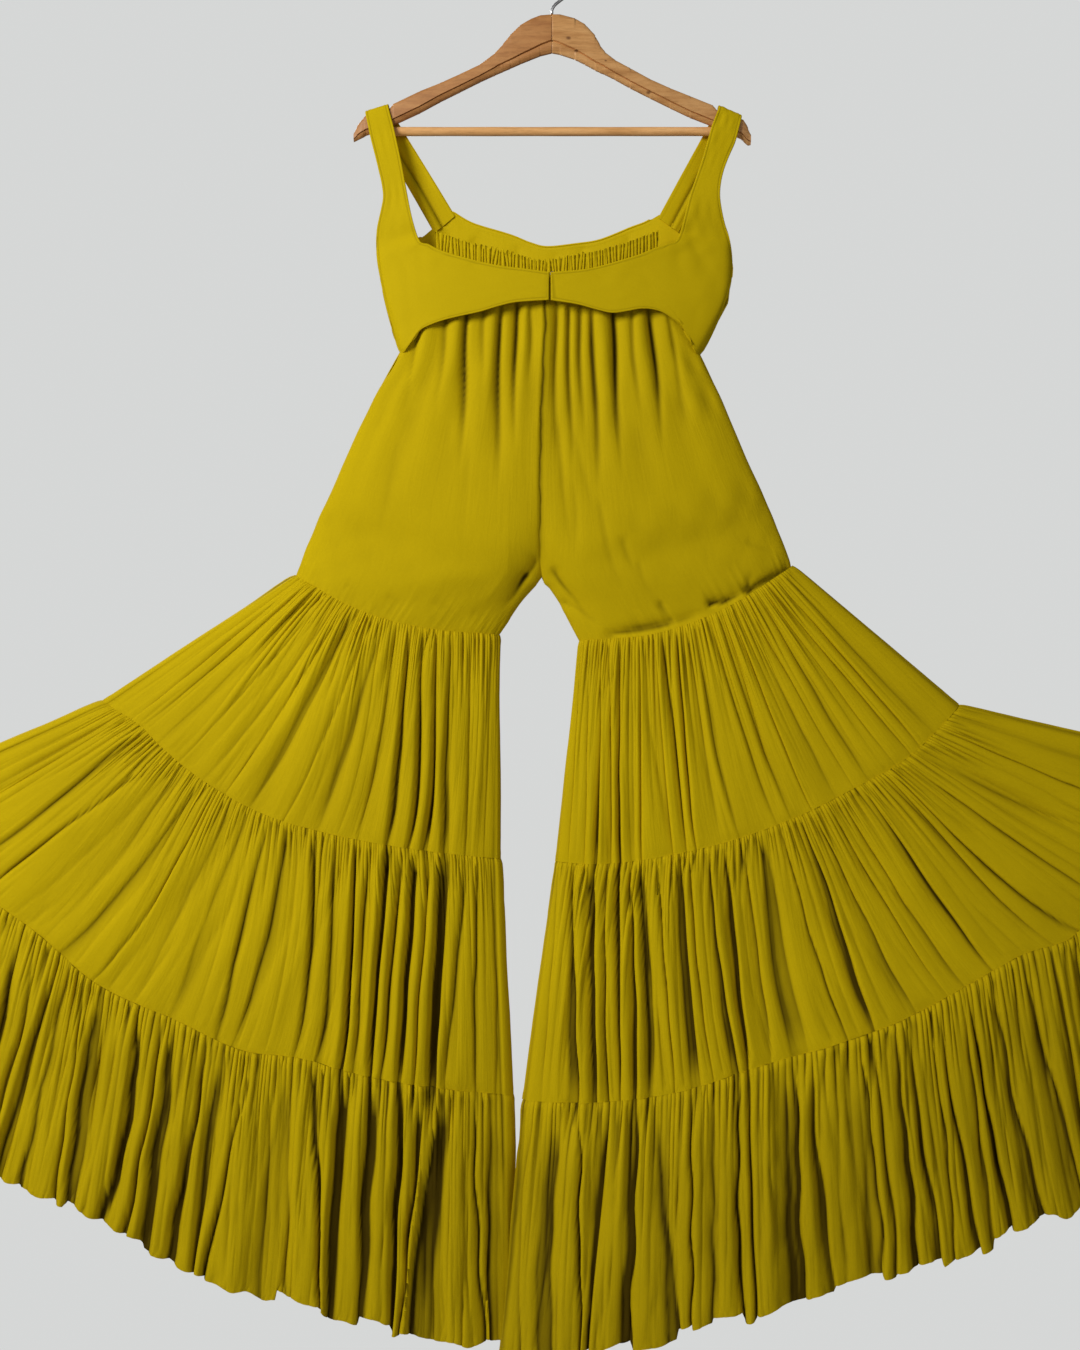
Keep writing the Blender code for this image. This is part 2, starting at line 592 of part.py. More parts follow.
def front_bodice(name, slot):
    """Builds the front bodice from its neckline and armholes down to the waist seam."""
    columns = 34
    top = np.array(FRONT_TOP, float)
    share = (top[:, 0] - top[0, 0]) / (top[-1, 0] - top[0, 0])
    k = np.linspace(0, 1, columns + 1)
    even = 0.6 * k + 0.4 * (1 - np.cos(math.pi * k)) / 2
    corners = share[[3, 4, 14, 15]]
    for corner in corners:
        even[np.argmin(np.abs(even - corner))] = corner
    top_x = np.interp(even, share, top[:, 0])
    top_z = np.interp(even, share, top[:, 1])
    waist = smooth_line(FRONT_WAIST, 100)
    waist_x = np.interp(even, np.linspace(0, 1, 100), waist[:, 0])
    waist_z = np.interp(even, np.linspace(0, 1, 100), waist[:, 1]) + SEAM / 2
    top_limit = np.where(top_x < -2.4, side_x(top_z, False), side_x(top_z, True))
    across = np.clip((top_x + 2.4) / (top_limit + 2.4), 0, 1)
    across[0] = across[-1] = 1.0
    grid = []
    for v in np.linspace(0, 1, 6):
        z = top_z * (1 - v) + waist_z * v
        limit = np.where(top_x < -2.4, side_x(z, False), side_x(z, True))
        x = -2.4 + across * (limit + 2.4)
        y = 0.3 + (FRONT_DEPTH - 2.0 * v - 0.3) * np.sqrt(np.clip(1 - across ** 2, 0, 1))
        grid.append(np.stack([x, y, z], axis=1))
    grid = np.array(grid)
    out = normals_of(grid, False)
    if out[2, columns // 2, 1] < 0:
        out = -out
    return solid_sheet(name, grid, grid + out * BAND, False, slot)


def back_waistband(name, slot):
    """Builds the ruched elastic strip at the top of the legs' back."""
    columns = WAISTBAND_RUCHES * 4
    line = smooth_line(WAISTBAND_TOP, columns + 1)
    k = np.linspace(-1, 1, columns + 1)
    base = waistband_base(k)
    ripple = 1.0 * np.cos(2 * math.pi * WAISTBAND_RUCHES * np.linspace(0, 1, columns + 1))
    grid = []
    for drop in (0.0, WAISTBAND_HEIGHT):
        grid.append(np.stack([line[:, 0], base - ripple, line[:, 1] - drop], axis=1))
    grid = np.array(grid)
    out = np.zeros_like(grid)
    out[:, :, 1] = -1.0
    return solid_sheet(name, grid, grid + out * CLOTH, False, slot)


green = (0.46, 0.38, 0.012)
cloth = material("crepe", green, 0.85)
bodice_cloth = material("bodice_crepe", green, 0.8)
elastic = material("ruched_elastic", (0.5, 0.42, 0.02), 0.9)
wood = material("beech", (0.52, 0.27, 0.11), 0.45)
steel = material("steel_wire", (0.62, 0.63, 0.65), 0.3, 1.0)

for side, rows in (("left", BACK_LEFT), ("right", BACK_RIGHT)):
    back_bodice(f"back_bodice_{side}", side, rows, bodice_cloth)
    front_strap(f"front_strap_{side}", side, bodice_cloth)
front_bodice("front_bodice", bodice_cloth)
back_waistband("back_waistband", elastic)
for side, rows in (("left", YOKE_LEFT), ("right", YOKE_RIGHT)):
    yoke(f"yoke_back_{side}", rows, False, 5, 20, cloth)
    yoke(f"yoke_front_{side}", rows, True, 0, 12, cloth)
    above = TIERS["upper"]["waves"]
    seam = "knee"
    for part_name in ("upper", "middle", "hem"):
        plan = TIERS[part_name]
        tier(f"tier_{part_name}_{side}", side, seam, part_name, above, plan, cloth)
        above = plan["waves"]
        seam = part_name

left_arm = arm("hanger_arm_left", ARM_LEFT, wood)
right_arm = arm("hanger_arm_right", ARM_RIGHT, wood)
cut_socket(left_arm, -1)
cut_socket(right_arm, 1)
rod("trouser_bar", [(x, BAR_Y, BAR_Z) for x in (-203.3, -100.0, 0.0, 100.0, 203.3)],
    BAR_RADIUS, 16, wood)
hook_line = smooth_line([(x, 0.0, z) for x, z in HOOK_PATH], 28)
rod("hanger_hook", hook_line, WIRE, 10, steel)

catch = [(-8.0, -23.3), (-5.0, -23.3), (-3.7, -22.95), (-2.8, -22.3), (-1.7, -22.1),
         (-0.9, -22.4), (-0.7, -23.2)]
rod("closure_hook", [(x, y, CLOSURE_Z) for x, y in catch], 0.35, 6, steel)
ring = [(0.4 + 2.4 * math.cos(a), -23.3, CLOSURE_Z + 2.4 * math.sin(a))
        for a in np.linspace(math.radians(18), math.radians(342), 15)]
rod("closure_eye", ring, 0.35, 6, steel)
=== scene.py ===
"""Sharara jumpsuit on a wooden hanger, seen from its back.

Each cloth piece is a thin shell worked out with numpy on a grid: a row runs across the piece
or round the leg, a column runs down the piece. A strap's rows run across it, and the back
bodice's rows go on round the band to the centre back. Lengths in the tables are millimetres;
meshes are in metres. X is to the viewer's right, Z is up and the viewer is at -Y.
"""

import math

import bpy
import numpy as np
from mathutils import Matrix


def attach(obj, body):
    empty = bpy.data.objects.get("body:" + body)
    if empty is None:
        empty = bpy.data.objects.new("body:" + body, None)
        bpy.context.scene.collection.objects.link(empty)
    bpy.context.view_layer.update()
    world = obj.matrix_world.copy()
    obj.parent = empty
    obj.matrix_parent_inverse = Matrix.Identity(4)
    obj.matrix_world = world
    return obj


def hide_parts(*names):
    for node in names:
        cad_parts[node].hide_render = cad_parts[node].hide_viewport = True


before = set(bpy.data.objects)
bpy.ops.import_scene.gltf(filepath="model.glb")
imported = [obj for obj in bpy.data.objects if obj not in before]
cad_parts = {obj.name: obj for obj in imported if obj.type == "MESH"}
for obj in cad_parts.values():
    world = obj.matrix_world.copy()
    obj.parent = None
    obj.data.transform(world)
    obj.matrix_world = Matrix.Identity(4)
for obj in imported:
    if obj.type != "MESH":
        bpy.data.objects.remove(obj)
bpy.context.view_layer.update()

MM = 0.001
TAU = 2 * math.pi
# The tiers' and yokes' visible wall
WALL = 0.9
# An edge that turns by more than this angle is drawn crisp
CRISP_EDGE = math.radians(72)
# Points round one leg's seam, and points along a seam line
LOOP_POINTS, LINE_POINTS = 2880, 400
CAMERA_X, CAMERA_Z, CAMERA_AWAY, CAMERA_LENS = -13.44, -795.2, 1900.0, 45.24
# The photograph's middle in pixels, and a pixel's size at y = 0
PHOTO_X, PHOTO_Y, PIXEL = 540, 675, 1.12

bpy.context.scene.view_settings.view_transform = "Standard"
bpy.context.scene.view_settings.look = "None"

# Tables and sizes as in the part. Each leg's seams, as x, z from its inner to its outer edge:
SEAMS = ("knee", "upper", "middle", "hem")
LEG_SEAMS = {
    "left": {
        "knee": [(-61, -750), (-134, -744), (-207, -726), (-286, -685)],
        "upper": [(-62, -1000), (-125, -992), (-190, -982), (-256, -968), (-323, -947),
                  (-390, -909), (-435, -873), (-458, -851), (-500, -826)],
        "middle": [(-49, -1265), (-125, -1254), (-201, -1240), (-278, -1218), (-344, -1208),
                   (-410, -1177), (-498, -1137), (-564, -1082), (-610, -1049), (-673, -996),
                   (-742, -930)],
        "hem": [(-44, -1545), (-135, -1528), (-228, -1505), (-310, -1479), (-387, -1451),
                (-474, -1407), (-540, -1372), (-607, -1350), (-720, -1281), (-842, -1193)],
    },
    "right": {
        "knee": [(32, -757), (116, -749), (193, -720), (268, -674)],
        "upper": [(8, -1004), (53, -1005), (98, -1000), (152, -990), (208, -975), (274, -950),
                  (340, -917), (386, -892), (420, -864), (453, -832)],
        "middle": [(-28, -1269), (53, -1267), (141, -1254), (229, -1225), (306, -1203),
                   (383, -1175), (450, -1140), (515, -1104), (560, -1090), (582, -1075),
                   (651, -1000), (710, -891)],
        "hem": [(-53, -1553), (31, -1543), (97, -1532), (163, -1511), (234, -1490),
                (316, -1465), (382, -1453), (459, -1426), (536, -1389), (580, -1380),
                (692, -1286), (800, -1154)],
    },
}
# The way the yoke's cloth runs into the knee seam, at the inner edge and at the side
YOKE_RUN = {"left": ((-24, 0, -34), (-13, 0, -34)), "right": ((23, 0, -42), (12, 0, -30))}
# How far a seam's loop stands out to the near and the far side, and its inner edge's y on the
# left and the right leg
LEG_DEPTH = {"knee": 20.0, "upper": 26.0, "middle": 32.0, "hem": 38.0}
LEG_INNER_Y = {"knee": (0, 0), "upper": (0, 0), "middle": (7, -7), "hem": (15, -15)}

# Walls of the part's cloth: legs, and bodice
CLOTH = 1.4
BAND = 1.6
BAR_RADIUS, BAR_HALF_LENGTH, BAR_Y, BAR_Z = 5.0, 203.3, 17.5, -181.0
WIRE = 1.7
ARM_SWEEP, ARM_REACH = 22.0, 225.0
# The back band's and the front's distance from the side seams' plane, and their middle's x
BAND_DEPTH, FRONT_DEPTH, BODICE_X = 24.0, 20.0, -2.4
CLOSURE_Y, CLOSURE_Z, CLOSURE_WIRE = -23.3, -351.4, 0.38
# Where the centre-back seam ends and the legs part, and the front's centre at the waist
CROTCH_Z, FRONT_WAIST_Z = -690.0, -440.0

# Yoke rows from the top: centre x, centre z, side x, side z, sag, depth at the centre,
# depth at the side, roundness of the leg.
YOKE = {
    "left": [
        (-8.0, -359.5, -130.0, -326.5, 18, 12.0, 6.5, 0),
        (-7.0, -405.1, -156.4, -376.0, 0, 14.0, 4.5, 0),
        (-9.0, -451.2, -169.1, -434.5, 0, 20.0, 0.0, 0),
        (-11.0, -501.8, -192.6, -475.8, 10, 25.0, 0.0, 0),
        (-12.3, -551.7, -212.1, -514.0, 20, 27.0, 0.0, 2),
        (-12.3, -601.3, -231.3, -556.3, 30, 26.0, 0.0, 6),
        (-12.3, -648.4, -246.6, -591.6, 40, 19.0, 0.0, 12),
        (-12.3, -683.4, -259.7, -619.8, 50, 3.0, 0.0, 18),
        (-37.2, -715.4, -272.8, -651.0, 60, 0.0, 0.0, 20),
        (-61.5, -749.3, -285.5, -685.2, 70, 0.0, 0.0, 20),
    ],
    "right": [
        (-8.0, -359.5, 118.5, -325.5, 18, 12.0, 6.5, 0),
        (-7.0, -405.1, 147.5, -376.0, 0, 14.0, 4.5, 0),
        (-9.0, -451.2, 164.6, -436.5, 0, 20.0, 0.0, 0),
        (-11.0, -501.8, 181.4, -471.7, 10, 25.0, 0.0, 0),
        (-12.3, -551.7, 198.5, -510.0, 20, 27.0, 0.0, 2),
        (-12.3, -601.3, 216.2, -552.3, 30, 26.0, 0.0, 6),
        (-12.3, -648.4, 232.7, -588.6, 40, 19.0, 0.0, 12),
        (-12.3, -683.4, 244.8, -615.7, 55, 3.0, 0.0, 18),
        (9.0, -714.4, 255.9, -643.9, 68, 0.0, 0.0, 20),
        (32.5, -757.1, 267.7, -674.2, 80, 0.0, 0.0, 20),
    ],
}
# Back bodice stations from the shoulder round to the centre back:
# outer x, outer z, inner x, inner z, outer y, inner y, share of the band's own roundness.
BACK = {
    "left": [
        (-203.5, -193.5, -177.7, -180.0, 8.0, 8.0, 0),
        (-193.7, -232.1, -169.0, -218.7, -1.0, -1.0, 0),
        (-188.7, -263.0, -161.7, -256.8, -7.0, -9.0, 0),
        (-195.6, -298.0, -154.7, -289.4, -4.5, -14.0, 0.1),
        (-194.9, -332.6, -146.7, -313.2, 0, 0, 1),
        (-185.9, -378.6, -137.8, -316.8, 0, 0, 1),
        (-169.1, -434.6, -124.3, -323.8, 0, 0, 1),
        (-146.9, -412.6, -107.6, -329.8, 0, 0, 1),
        (-118.8, -401.4, -82.1, -336.8, 0, 0, 1),
        (-79.8, -393.2, -55.5, -342.7, 0, 0, 1),
        (-44.4, -383.7, -26.7, -346.2, 0, 0, 1),
        (-3.0, -380.7, -3.0, -349.7, 0, 0, 1),
    ],
    "right": [
        (205.9, -196.9, 178.9, -180.0, 8.0, 8.0, 0),
        (192.5, -229.9, 167.9, -218.7, -1.0, -1.0, 0),
        (187.5, -260.7, 153.8, -260.1, -7.0, -9.0, 0),
        (193.3, -292.4, 145.5, -291.5, -4.5, -14.0, 0.1),
        (201.6, -325.9, 138.6, -312.3, 0, 0, 1),
        (197.1, -367.4, 127.4, -317.1, 0, 0, 1),
        (165.8, -435.7, 114.1, -321.9, 0, 0, 1),
        (145.5, -409.5, 95.1, -330.0, 0, 0, 1),
        (120.8, -392.5, 72.9, -336.9, 0, 0, 1),
        (97.4, -389.7, 53.0, -342.7, 0, 0, 1),
        (66.2, -394.6, 34.1, -346.6, 0, 0, 1),
        (30.8, -386.0, 15.3, -348.4, 0, 0, 1),
        (-2.0, -380.7, -2.0, -349.7, 0, 0, 1),
    ],
}
# Where the strap crosses the arm, and where the front strap joins the bodice:
# outer x, outer z, inner x, inner z.
SHOULDER = {"left": (-210.1, -160.1, -183.9, -153.1),
            "right": (213.8, -164.4, 187.4, -154.1)}
STRAP_FOOT = {"left": (-135.3, -291.9, -111.7, -272.1),
              "right": (145.7, -291.9, 122.2, -274.4)}
FRONT_TOP = [(-195.1, -316.6), (-168.8, -308.8), (-148.7, -302.4), (-135.3, -291.8),
             (-111.8, -272.1), (-95.8, -281.8), (-81.2, -287.5), (-47.3, -297.4),
             (-24.7, -306.3), (-5.5, -310.8), (26.2, -307.5), (54.5, -303.1), (88.3, -289.9),
             (106.0, -283.5), (122.1, -274.6), (145.6, -292.2), (166.8, -305.2),
             (200.0, -318.0)]
FRONT_WAIST = [(-169.1, -434.1), (-89.0, -436.8), (-9.0, -439.6), (78.0, -438.0),
               (164.6, -436.1)]
WAISTBAND_TOP = [(-129.1, -301.2), (-91.3, -314.6), (-46.8, -325.7), (-12.3, -334.6),
                 (20.0, -329.0), (64.5, -320.1), (117.8, -300.1)]
WAISTBAND_HEIGHT, WAISTBAND_Y, WAISTBAND_X = 22.0, 12.5, -9.0
# Side lines of the bodice: z, left x, right x.
SIDE_LINES = [(-436, -169.0, 165.8), (-378, -186.0, 197.0), (-332, -194.9, 201.6),
              (-297, -196.5, 196.0)]
# Hanger arms: x, top z, bottom z.
ARMS = {
    "left": [
        (-0.05, -56.5, -98.9), (-13.4, -57.3, -102.0), (-24.6, -61.5, -106.2),
        (-35.8, -67.9, -110.4), (-47.0, -78.7, -115.1), (-54.9, -88.6, -118.3),
        (-63.8, -98.4, -121.9), (-80.7, -110.6, -129.1), (-103.2, -120.5, -139.6),
        (-125.8, -129.8, -150.0), (-148.5, -137.9, -161.5), (-179.2, -151.4, -174.5),
        (-181.7, -155.7, -176.1), (-210.6, -163.0, -184.8), (-212.3, -165.1, -185.7),
        (-220.3, -174.6, -189.9), (-224.3, -184.3, -191.4),
    ],
    "right": [
        (0.05, -56.5, -98.9), (9.0, -56.3, -100.4), (25.7, -60.4, -105.6),
        (37.0, -66.7, -110.9), (48.2, -78.7, -116.8), (53.8, -89.7, -119.4),
        (59.4, -97.3, -121.4), (70.7, -105.9, -126.7), (87.6, -114.4, -135.6),
        (110.1, -125.9, -146.1), (132.8, -135.2, -156.5), (155.5, -143.3, -166.4),
        (181.9, -152.8, -175.6), (184.8, -157.2, -177.1), (214.3, -167.1, -188.5),
        (216.7, -167.3, -190.6), (221.7, -175.7, -196.1), (225.2, -185.7, -194.8),
    ],
}
# The hanger hook's middle line: x, z.
HOOK_PATH = [(0.0, -56.0), (0.0, -50.5), (3.2, -45.0), (10.0, -39.3), (17.0, -33.4),
             (21.7, -20.0), (18.8, -9.2), (10.9, -1.2), (0.0, 1.7), (-10.9, -1.2),
             (-18.8, -9.2), (-21.7, -20.0), (-20.4, -27.4), (-17.5, -32.8)]


# Small helpers
def ease(x):
    """Goes smoothly from 0 to 1: 3x^2 - 2x^3, held at 0 and 1 outside."""
    x = np.clip(x, 0.0, 1.0)
    return x * x * (3 - 2 * x)


def unit(v):
    """Divides vectors by their length."""
    return v / np.maximum(np.linalg.norm(v, axis=-1, keepdims=True), 1e-12)


def smooth_table(rows, between):
    """Fills a table with smooth in-between rows (Catmull-Rom), between steps to a row."""
    p = np.array(rows, float)
    padded = np.vstack([2 * p[0] - p[1], p, 2 * p[-1] - p[-2]])
    a, b, c, d = (q[:, None, :] for q in (padded[:-3], padded[1:-2], padded[2:-1], padded[3:]))
    t = np.linspace(0, 1, between, endpoint=False)[None, :, None]
    fine = 0.5 * (2 * b + (c - a) * t + (2 * a - 5 * b + 4 * c - d) * t ** 2
                  + (3 * b - a - 3 * c + d) * t ** 3)
    return np.vstack([fine.reshape(-1, p.shape[1]), p[-1:]])


def walk(line, count, to_end=True):
    """Reads a line at count places an equal distance apart, with or without its end."""
    run = np.concatenate([[0], np.cumsum(np.linalg.norm(np.diff(line, axis=0), axis=1))])
    where = np.linspace(0, run[-1], count, endpoint=to_end)
    return np.stack([np.interp(where, run, line[:, k]) for k in range(line.shape[1])], axis=1)


def smooth_line(points, count):
    """Runs a Catmull-Rom line through the points and reads it at count places an equal
    distance apart."""
    return walk(smooth_table(points, 24), count)


def cosine_steps(count):
    """Gives count steps from 0 to 1 that are short near both ends."""
    return (1 - np.cos(math.pi * np.linspace(0, 1, count + 1))) / 2


def ripples(w, seed, low, high):
    """Adds ten sine waves of seeded height and phase, between low and high turns along w."""
    rng = np.random.default_rng(seed)
    turns = rng.integers(low, high + 1, 10)
    phase = rng.uniform(0, TAU, 10)
    height = rng.uniform(0.4, 1.0, 10)
    total = np.zeros_like(np.asarray(w, float))
    for n, p, h in zip(turns, phase, height):
        total = total + h * np.sin(TAU * n * w + p)
    return total / 2.4


def gathers(place, v, seed, count, depth, length, sharp=0.75, spread=0.5):
    """Draws gathers below a seam. The edge is cut into count ridges, whose widths differ by up
    to spread; across a ridge the cloth stands out by sin(pi f)^sharp, so the ridges are round
    and the creases between them keen. Each ridge has its own height, fills out below the seam
    and dies away after its own length. place is the share along the edge, rows x columns."""
    rng = np.random.default_rng(seed)
    width = rng.uniform(1 - spread, 1 + spread, count)
    edge = np.concatenate([[0], np.cumsum(width)]) / width.sum()
    tall = depth * rng.uniform(0.2, 1.5, count)
    long = length * rng.uniform(0.2, 1.0, count) ** 2 * 2.6
    place = place % 1.0
    k = np.clip(np.searchsorted(edge, place, side="right") - 1, 0, count - 1)
    f = (place - edge[k]) / (edge[k + 1] - edge[k])
    ridge = np.sin(math.pi * np.clip(f, 0, 1)) ** sharp
    below = v[:, None]
    return tall[k] * ridge * (0.7 + 0.3 * ease(below / 0.03)) * (
        1 - ease((below - 0.1 * long[k]) / long[k]))


def cloth_noise(a, b, seed, across, along):
    """Soft noise from 0 to 1: random heights at across x along knots, eased between knots.
    a and b are shares from 0 to 1, rows x columns; a closes on itself."""
    rng = np.random.default_rng(seed)
    knots = rng.uniform(0, 1, (along + 2, across))
    x, y = (a % 1.0) * across, np.clip(b, 0, 1) * along
    i, j = np.floor(x).astype(int), np.floor(y).astype(int)
    p, q = ease(x - i), ease(y - j)
    i0, i1 = i % across, (i + 1) % across
    return ((knots[j, i0] * (1 - p) + knots[j, i1] * p) * (1 - q)
            + (knots[j + 1, i0] * (1 - p) + knots[j + 1, i1] * p) * q)


def crumple(a, b, seed, across, along):
    """Small sharp wrinkles: 1 - |2n - 1| of soft noise n, so creases run where n is a half."""
    lean = 0.6 / across * np.sin(TAU * 3 * b + seed)
    return 1 - np.abs(2 * cloth_noise(a + lean, b, seed, across, along) - 1)


def three_point(v, first, middle, last):
    """Runs a parabola through its values at v = 0, 0.5 and 1."""
    return (first * (1 - v) * (1 - 2 * v) + middle * 4 * v * (1 - v) + last * v * (2 * v - 1))


def fold_field(q, v, rows, span, seed, keen, wander, flat):
    """Raises the cloth between neighbouring valleys. A row gives a valley's place (in
    thousandths round the leg) and its depth at the top, the middle and the foot; span is the
    seam's length in mm. Between two valleys the cloth stands at depth * (fold - 0.4), where
    depth goes from one valley's to the other's. With f from 0 to 1 across the fold, fold is
    a steep edge, sin(pi/2 f/edge)^0.8, times a fall; past foot lies the floor of a deep
    valley. With t from 0 to 1 between edge and foot, the fall is cos(pi/2 t)^0.7 on a round
    fold and 1 - 0.15 t - 0.85 (t - 0.58)/0.42 on a flat panel, and flat mixes the two. One
    fold in five is turned the other way. keen mixes in a pressed ridge that rises straight
    to its crest and falls.
    Each valley strays sideways by wander (thousandths) times two sine waves of its own."""
    table = np.array(rows, float)
    table = table[np.argsort(table[:, 1])]
    rng = np.random.default_rng(seed)
    turned = rng.random(len(table) + 1) < 0.2
    peak = rng.uniform(0.18, 0.6, len(table) + 1)
    turns = rng.uniform(0.8, 3.6, (len(table), 2))
    phase = rng.uniform(0, TAU, (len(table), 2))
    stray = [wander * np.sin(TAU * turns[i] * v[:, None] + phase[i]).sum(axis=1)
             for i in range(len(table))]
    at = [(three_point(v, *row[:3]) + stray[i]) / 1000 for i, row in enumerate(table)]
    deep = [np.clip(three_point(v, *row[3:]), 0.2, None) for row in table]
    before, beyond, crossing = -0.012, 0.512, 0.0022
    at = [np.full_like(v, before)] + at + [np.full_like(v, beyond)]
    deep = [deep[0]] + deep + [deep[-1]]
    shift = crossing * np.arange(len(at))[:, None]
    at = np.maximum.accumulate(np.array(at) + shift, axis=0) - shift
    total = np.zeros_like(q)
    for i in range(len(at) - 1):
        low, high = at[i][:, None], at[i + 1][:, None]
        inside = (q >= low) & (q < high)
        f = np.clip((q - low) / np.maximum(high - low, 1e-5), 0, 1)
        depth = deep[i][:, None] * (1 - f) + deep[i + 1][:, None] * f
        if turned[i]:
            f = 1 - f
        ahead = deep[i if turned[i] else i + 1][:, None]
        wide = np.maximum((high - low) * span[:, None], 1.0)
        edge = np.clip((1.2 + 0.45 * depth) / wide, 0.09, 0.42)
        foot = 1 - 0.26 * ease((ahead - 3.0) / 7.0)
        fall = np.clip((f - edge) / (foot - edge), 0, 1)
        panel = 1 - 0.15 * fall - 0.85 * np.clip((fall - 0.58) / 0.42, 0, 1)
        soft = np.abs(np.cos(math.pi / 2 * fall)) ** 0.7
        fold = np.sin(math.pi / 2 * np.clip(f / edge, 0, 1)) ** 0.8 * (
            panel * flat + soft * (1 - flat))
        ridge = np.minimum(f / peak[i], (1 - f) / (1 - peak[i]))
        total = np.where(inside, depth * (fold * (1 - keen) + keen * ridge - 0.4), total)
    return total


def crease_shape(off, reach, blunt=0.3, top=0.55):
    """Gives a crease's share of its depth at distance off from its line: exp(-d / reach), with
    d = sqrt(off^2 + blunt) - top, so that its bottom is a little rounded."""
    return np.exp(-(np.sqrt(off ** 2 + blunt) - top) / reach)


def crease_field(q, v, rows, span):
    """Presses thin creases into the cloth along lines given as fold_field's rows; each reaches
    further on its outer side. span is the seam's length round the leg in mm."""
    total = np.zeros_like(q)
    for p0, p5, p1, d0, d5, d1 in rows:
        at = three_point(v, p0, p5, p1)[:, None] / 1000
        deep = np.clip(np.interp(v, [0, 0.5, 1], [d0, d5, d1]), 0, None)[:, None]
        off = (q - at) * span[:, None]
        total -= deep * crease_shape(off, np.where(off < 0, 2.2, 4.0))
    return total


def stray_creases(q, tall, span, seed, count, depth):
    """Presses count short creases at seeded places: each runs a little askew and bowed from
    its own start to its own end, fades towards both and is keener on its inner side."""
    rng = np.random.default_rng(seed)
    total = np.zeros_like(q)
    for _ in range(count):
        at, askew = rng.uniform(0, 0.5), rng.normal(0, 0.005)
        start, long = rng.uniform(-0.35, 0.75), rng.uniform(0.25, 0.9)
        deep, bow, phase = depth * rng.uniform(0.3, 1.0), rng.uniform(0, 0.0016), rng.uniform(0, 6)
        along = np.clip((tall - start) / long, 0, 1)
        off = (q - at - askew * tall - bow * np.sin(8 * tall + phase)) * span[:, None]
        shape = crease_shape(off, np.where(off < 0, 1.5, 3.6))
        total -= deep * np.sin(math.pi * along) * shape
    return total


def troughs(x, z, rows):
    """Presses creases into a piece. A row is a line from (x0, z0) to (x1, z1) with its depth
    and its reach on the viewer's left, or above, and on the right, or below. The line waves a
    little, and the crease eases in at its start and out over its last three quarters."""
    total = np.zeros_like(x)
    for x0, z0, x1, z1, depth, left, right in rows:
        ax, az = x1 - x0, z1 - z0
        size = math.hypot(ax, az)
        along = ((x - x0) * ax + (z - z0) * az) / size ** 2
        off = ((x - x0) * az - (z - z0) * ax) / size
        off = np.where(az < 0, -off, off)
        off = off + 1.2 * np.sin(along * 7 + x0)
        soft = crease_shape(off, np.where(off < 0, left, right), blunt=2.0, top=1.41)
        ends = ease((along + 0.04) / 0.16) * (1 - ease((along - 0.25) / 0.80))
        total -= depth * soft * ends
    return total


def sight(px, py, y=0.0):
    """Turns a place in the photograph's frame into x, z at depth y."""
    scale = PIXEL * (1 + y / CAMERA_AWAY)
    return CAMERA_X + (px - PHOTO_X) * scale, CAMERA_Z - (py - PHOTO_Y) * scale


def seen(rows, y=-30.0):
    """Turns crease rows given as they are seen (px, py, px, py, depth, left, right) into
    rows in millimetres."""
    return [(*sight(a, b, y), *sight(c, d, y), depth, left, right)
            for a, b, c, d, depth, left, right in rows]


def normals_of(grid, closed):
    """Crosses a grid's direction across with its direction down."""
    if closed:
        across = np.roll(grid, -1, axis=1) - np.roll(grid, 1, axis=1)
    else:
        across = np.gradient(grid, axis=1)
    return unit(np.cross(across, np.gradient(grid, axis=0)))


def valley_share(lift, closed, reach, deep):
    """Tells how far each point lies below the mean of its neighbours within reach columns: 0
    at the mean or above, 1 at deep mm below it."""
    wide = 2 * reach + 1
    padded = np.pad(lift, ((0, 0), (reach, reach)), mode="wrap" if closed else "edge")
    total = np.cumsum(np.pad(padded, ((0, 0), (1, 0))), axis=1)
    mean = (total[:, wide:] - total[:, :-wide]) / wide
    return np.clip((mean - lift) / deep, 0, 1)


def build_mesh(name, points, quads, uv, finish, valley=None):
    """Puts points (metres), four-cornered faces and their UVs into a smooth mesh object whose cut
    edges stay crisp. valley, if given, is stored as painted shade for the finish."""
    mesh = bpy.data.meshes.new(name)
    mesh.vertices.add(len(points))
    mesh.vertices.foreach_set("co", np.ascontiguousarray(points, np.float32).ravel())
    mesh.loops.add(quads.size)
    mesh.loops.foreach_set("vertex_index", quads.astype(np.int32).ravel())
    mesh.polygons.add(len(quads))
    mesh.polygons.foreach_set("loop_start", np.arange(0, quads.size, 4, dtype=np.int32))
    mesh.polygons.foreach_set("use_smooth", np.ones(len(quads), bool))
    layer = mesh.uv_layers.new(name="weave")
    layer.data.foreach_set("uv", np.ascontiguousarray(uv, np.float32).ravel())
    if valley is not None:
        share = mesh.attributes.new("valley", "FLOAT", "POINT")
        share.data.foreach_set("value", np.ascontiguousarray(valley, np.float32))
    mesh.update(calc_edges=True)
    mesh.validate()
    mesh.set_sharp_from_angle(angle=CRISP_EDGE)
    made = bpy.data.objects.new(name, mesh)
    bpy.context.scene.collection.objects.link(made)
    mesh.materials.append(finish)
    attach(made, "root")
    return made


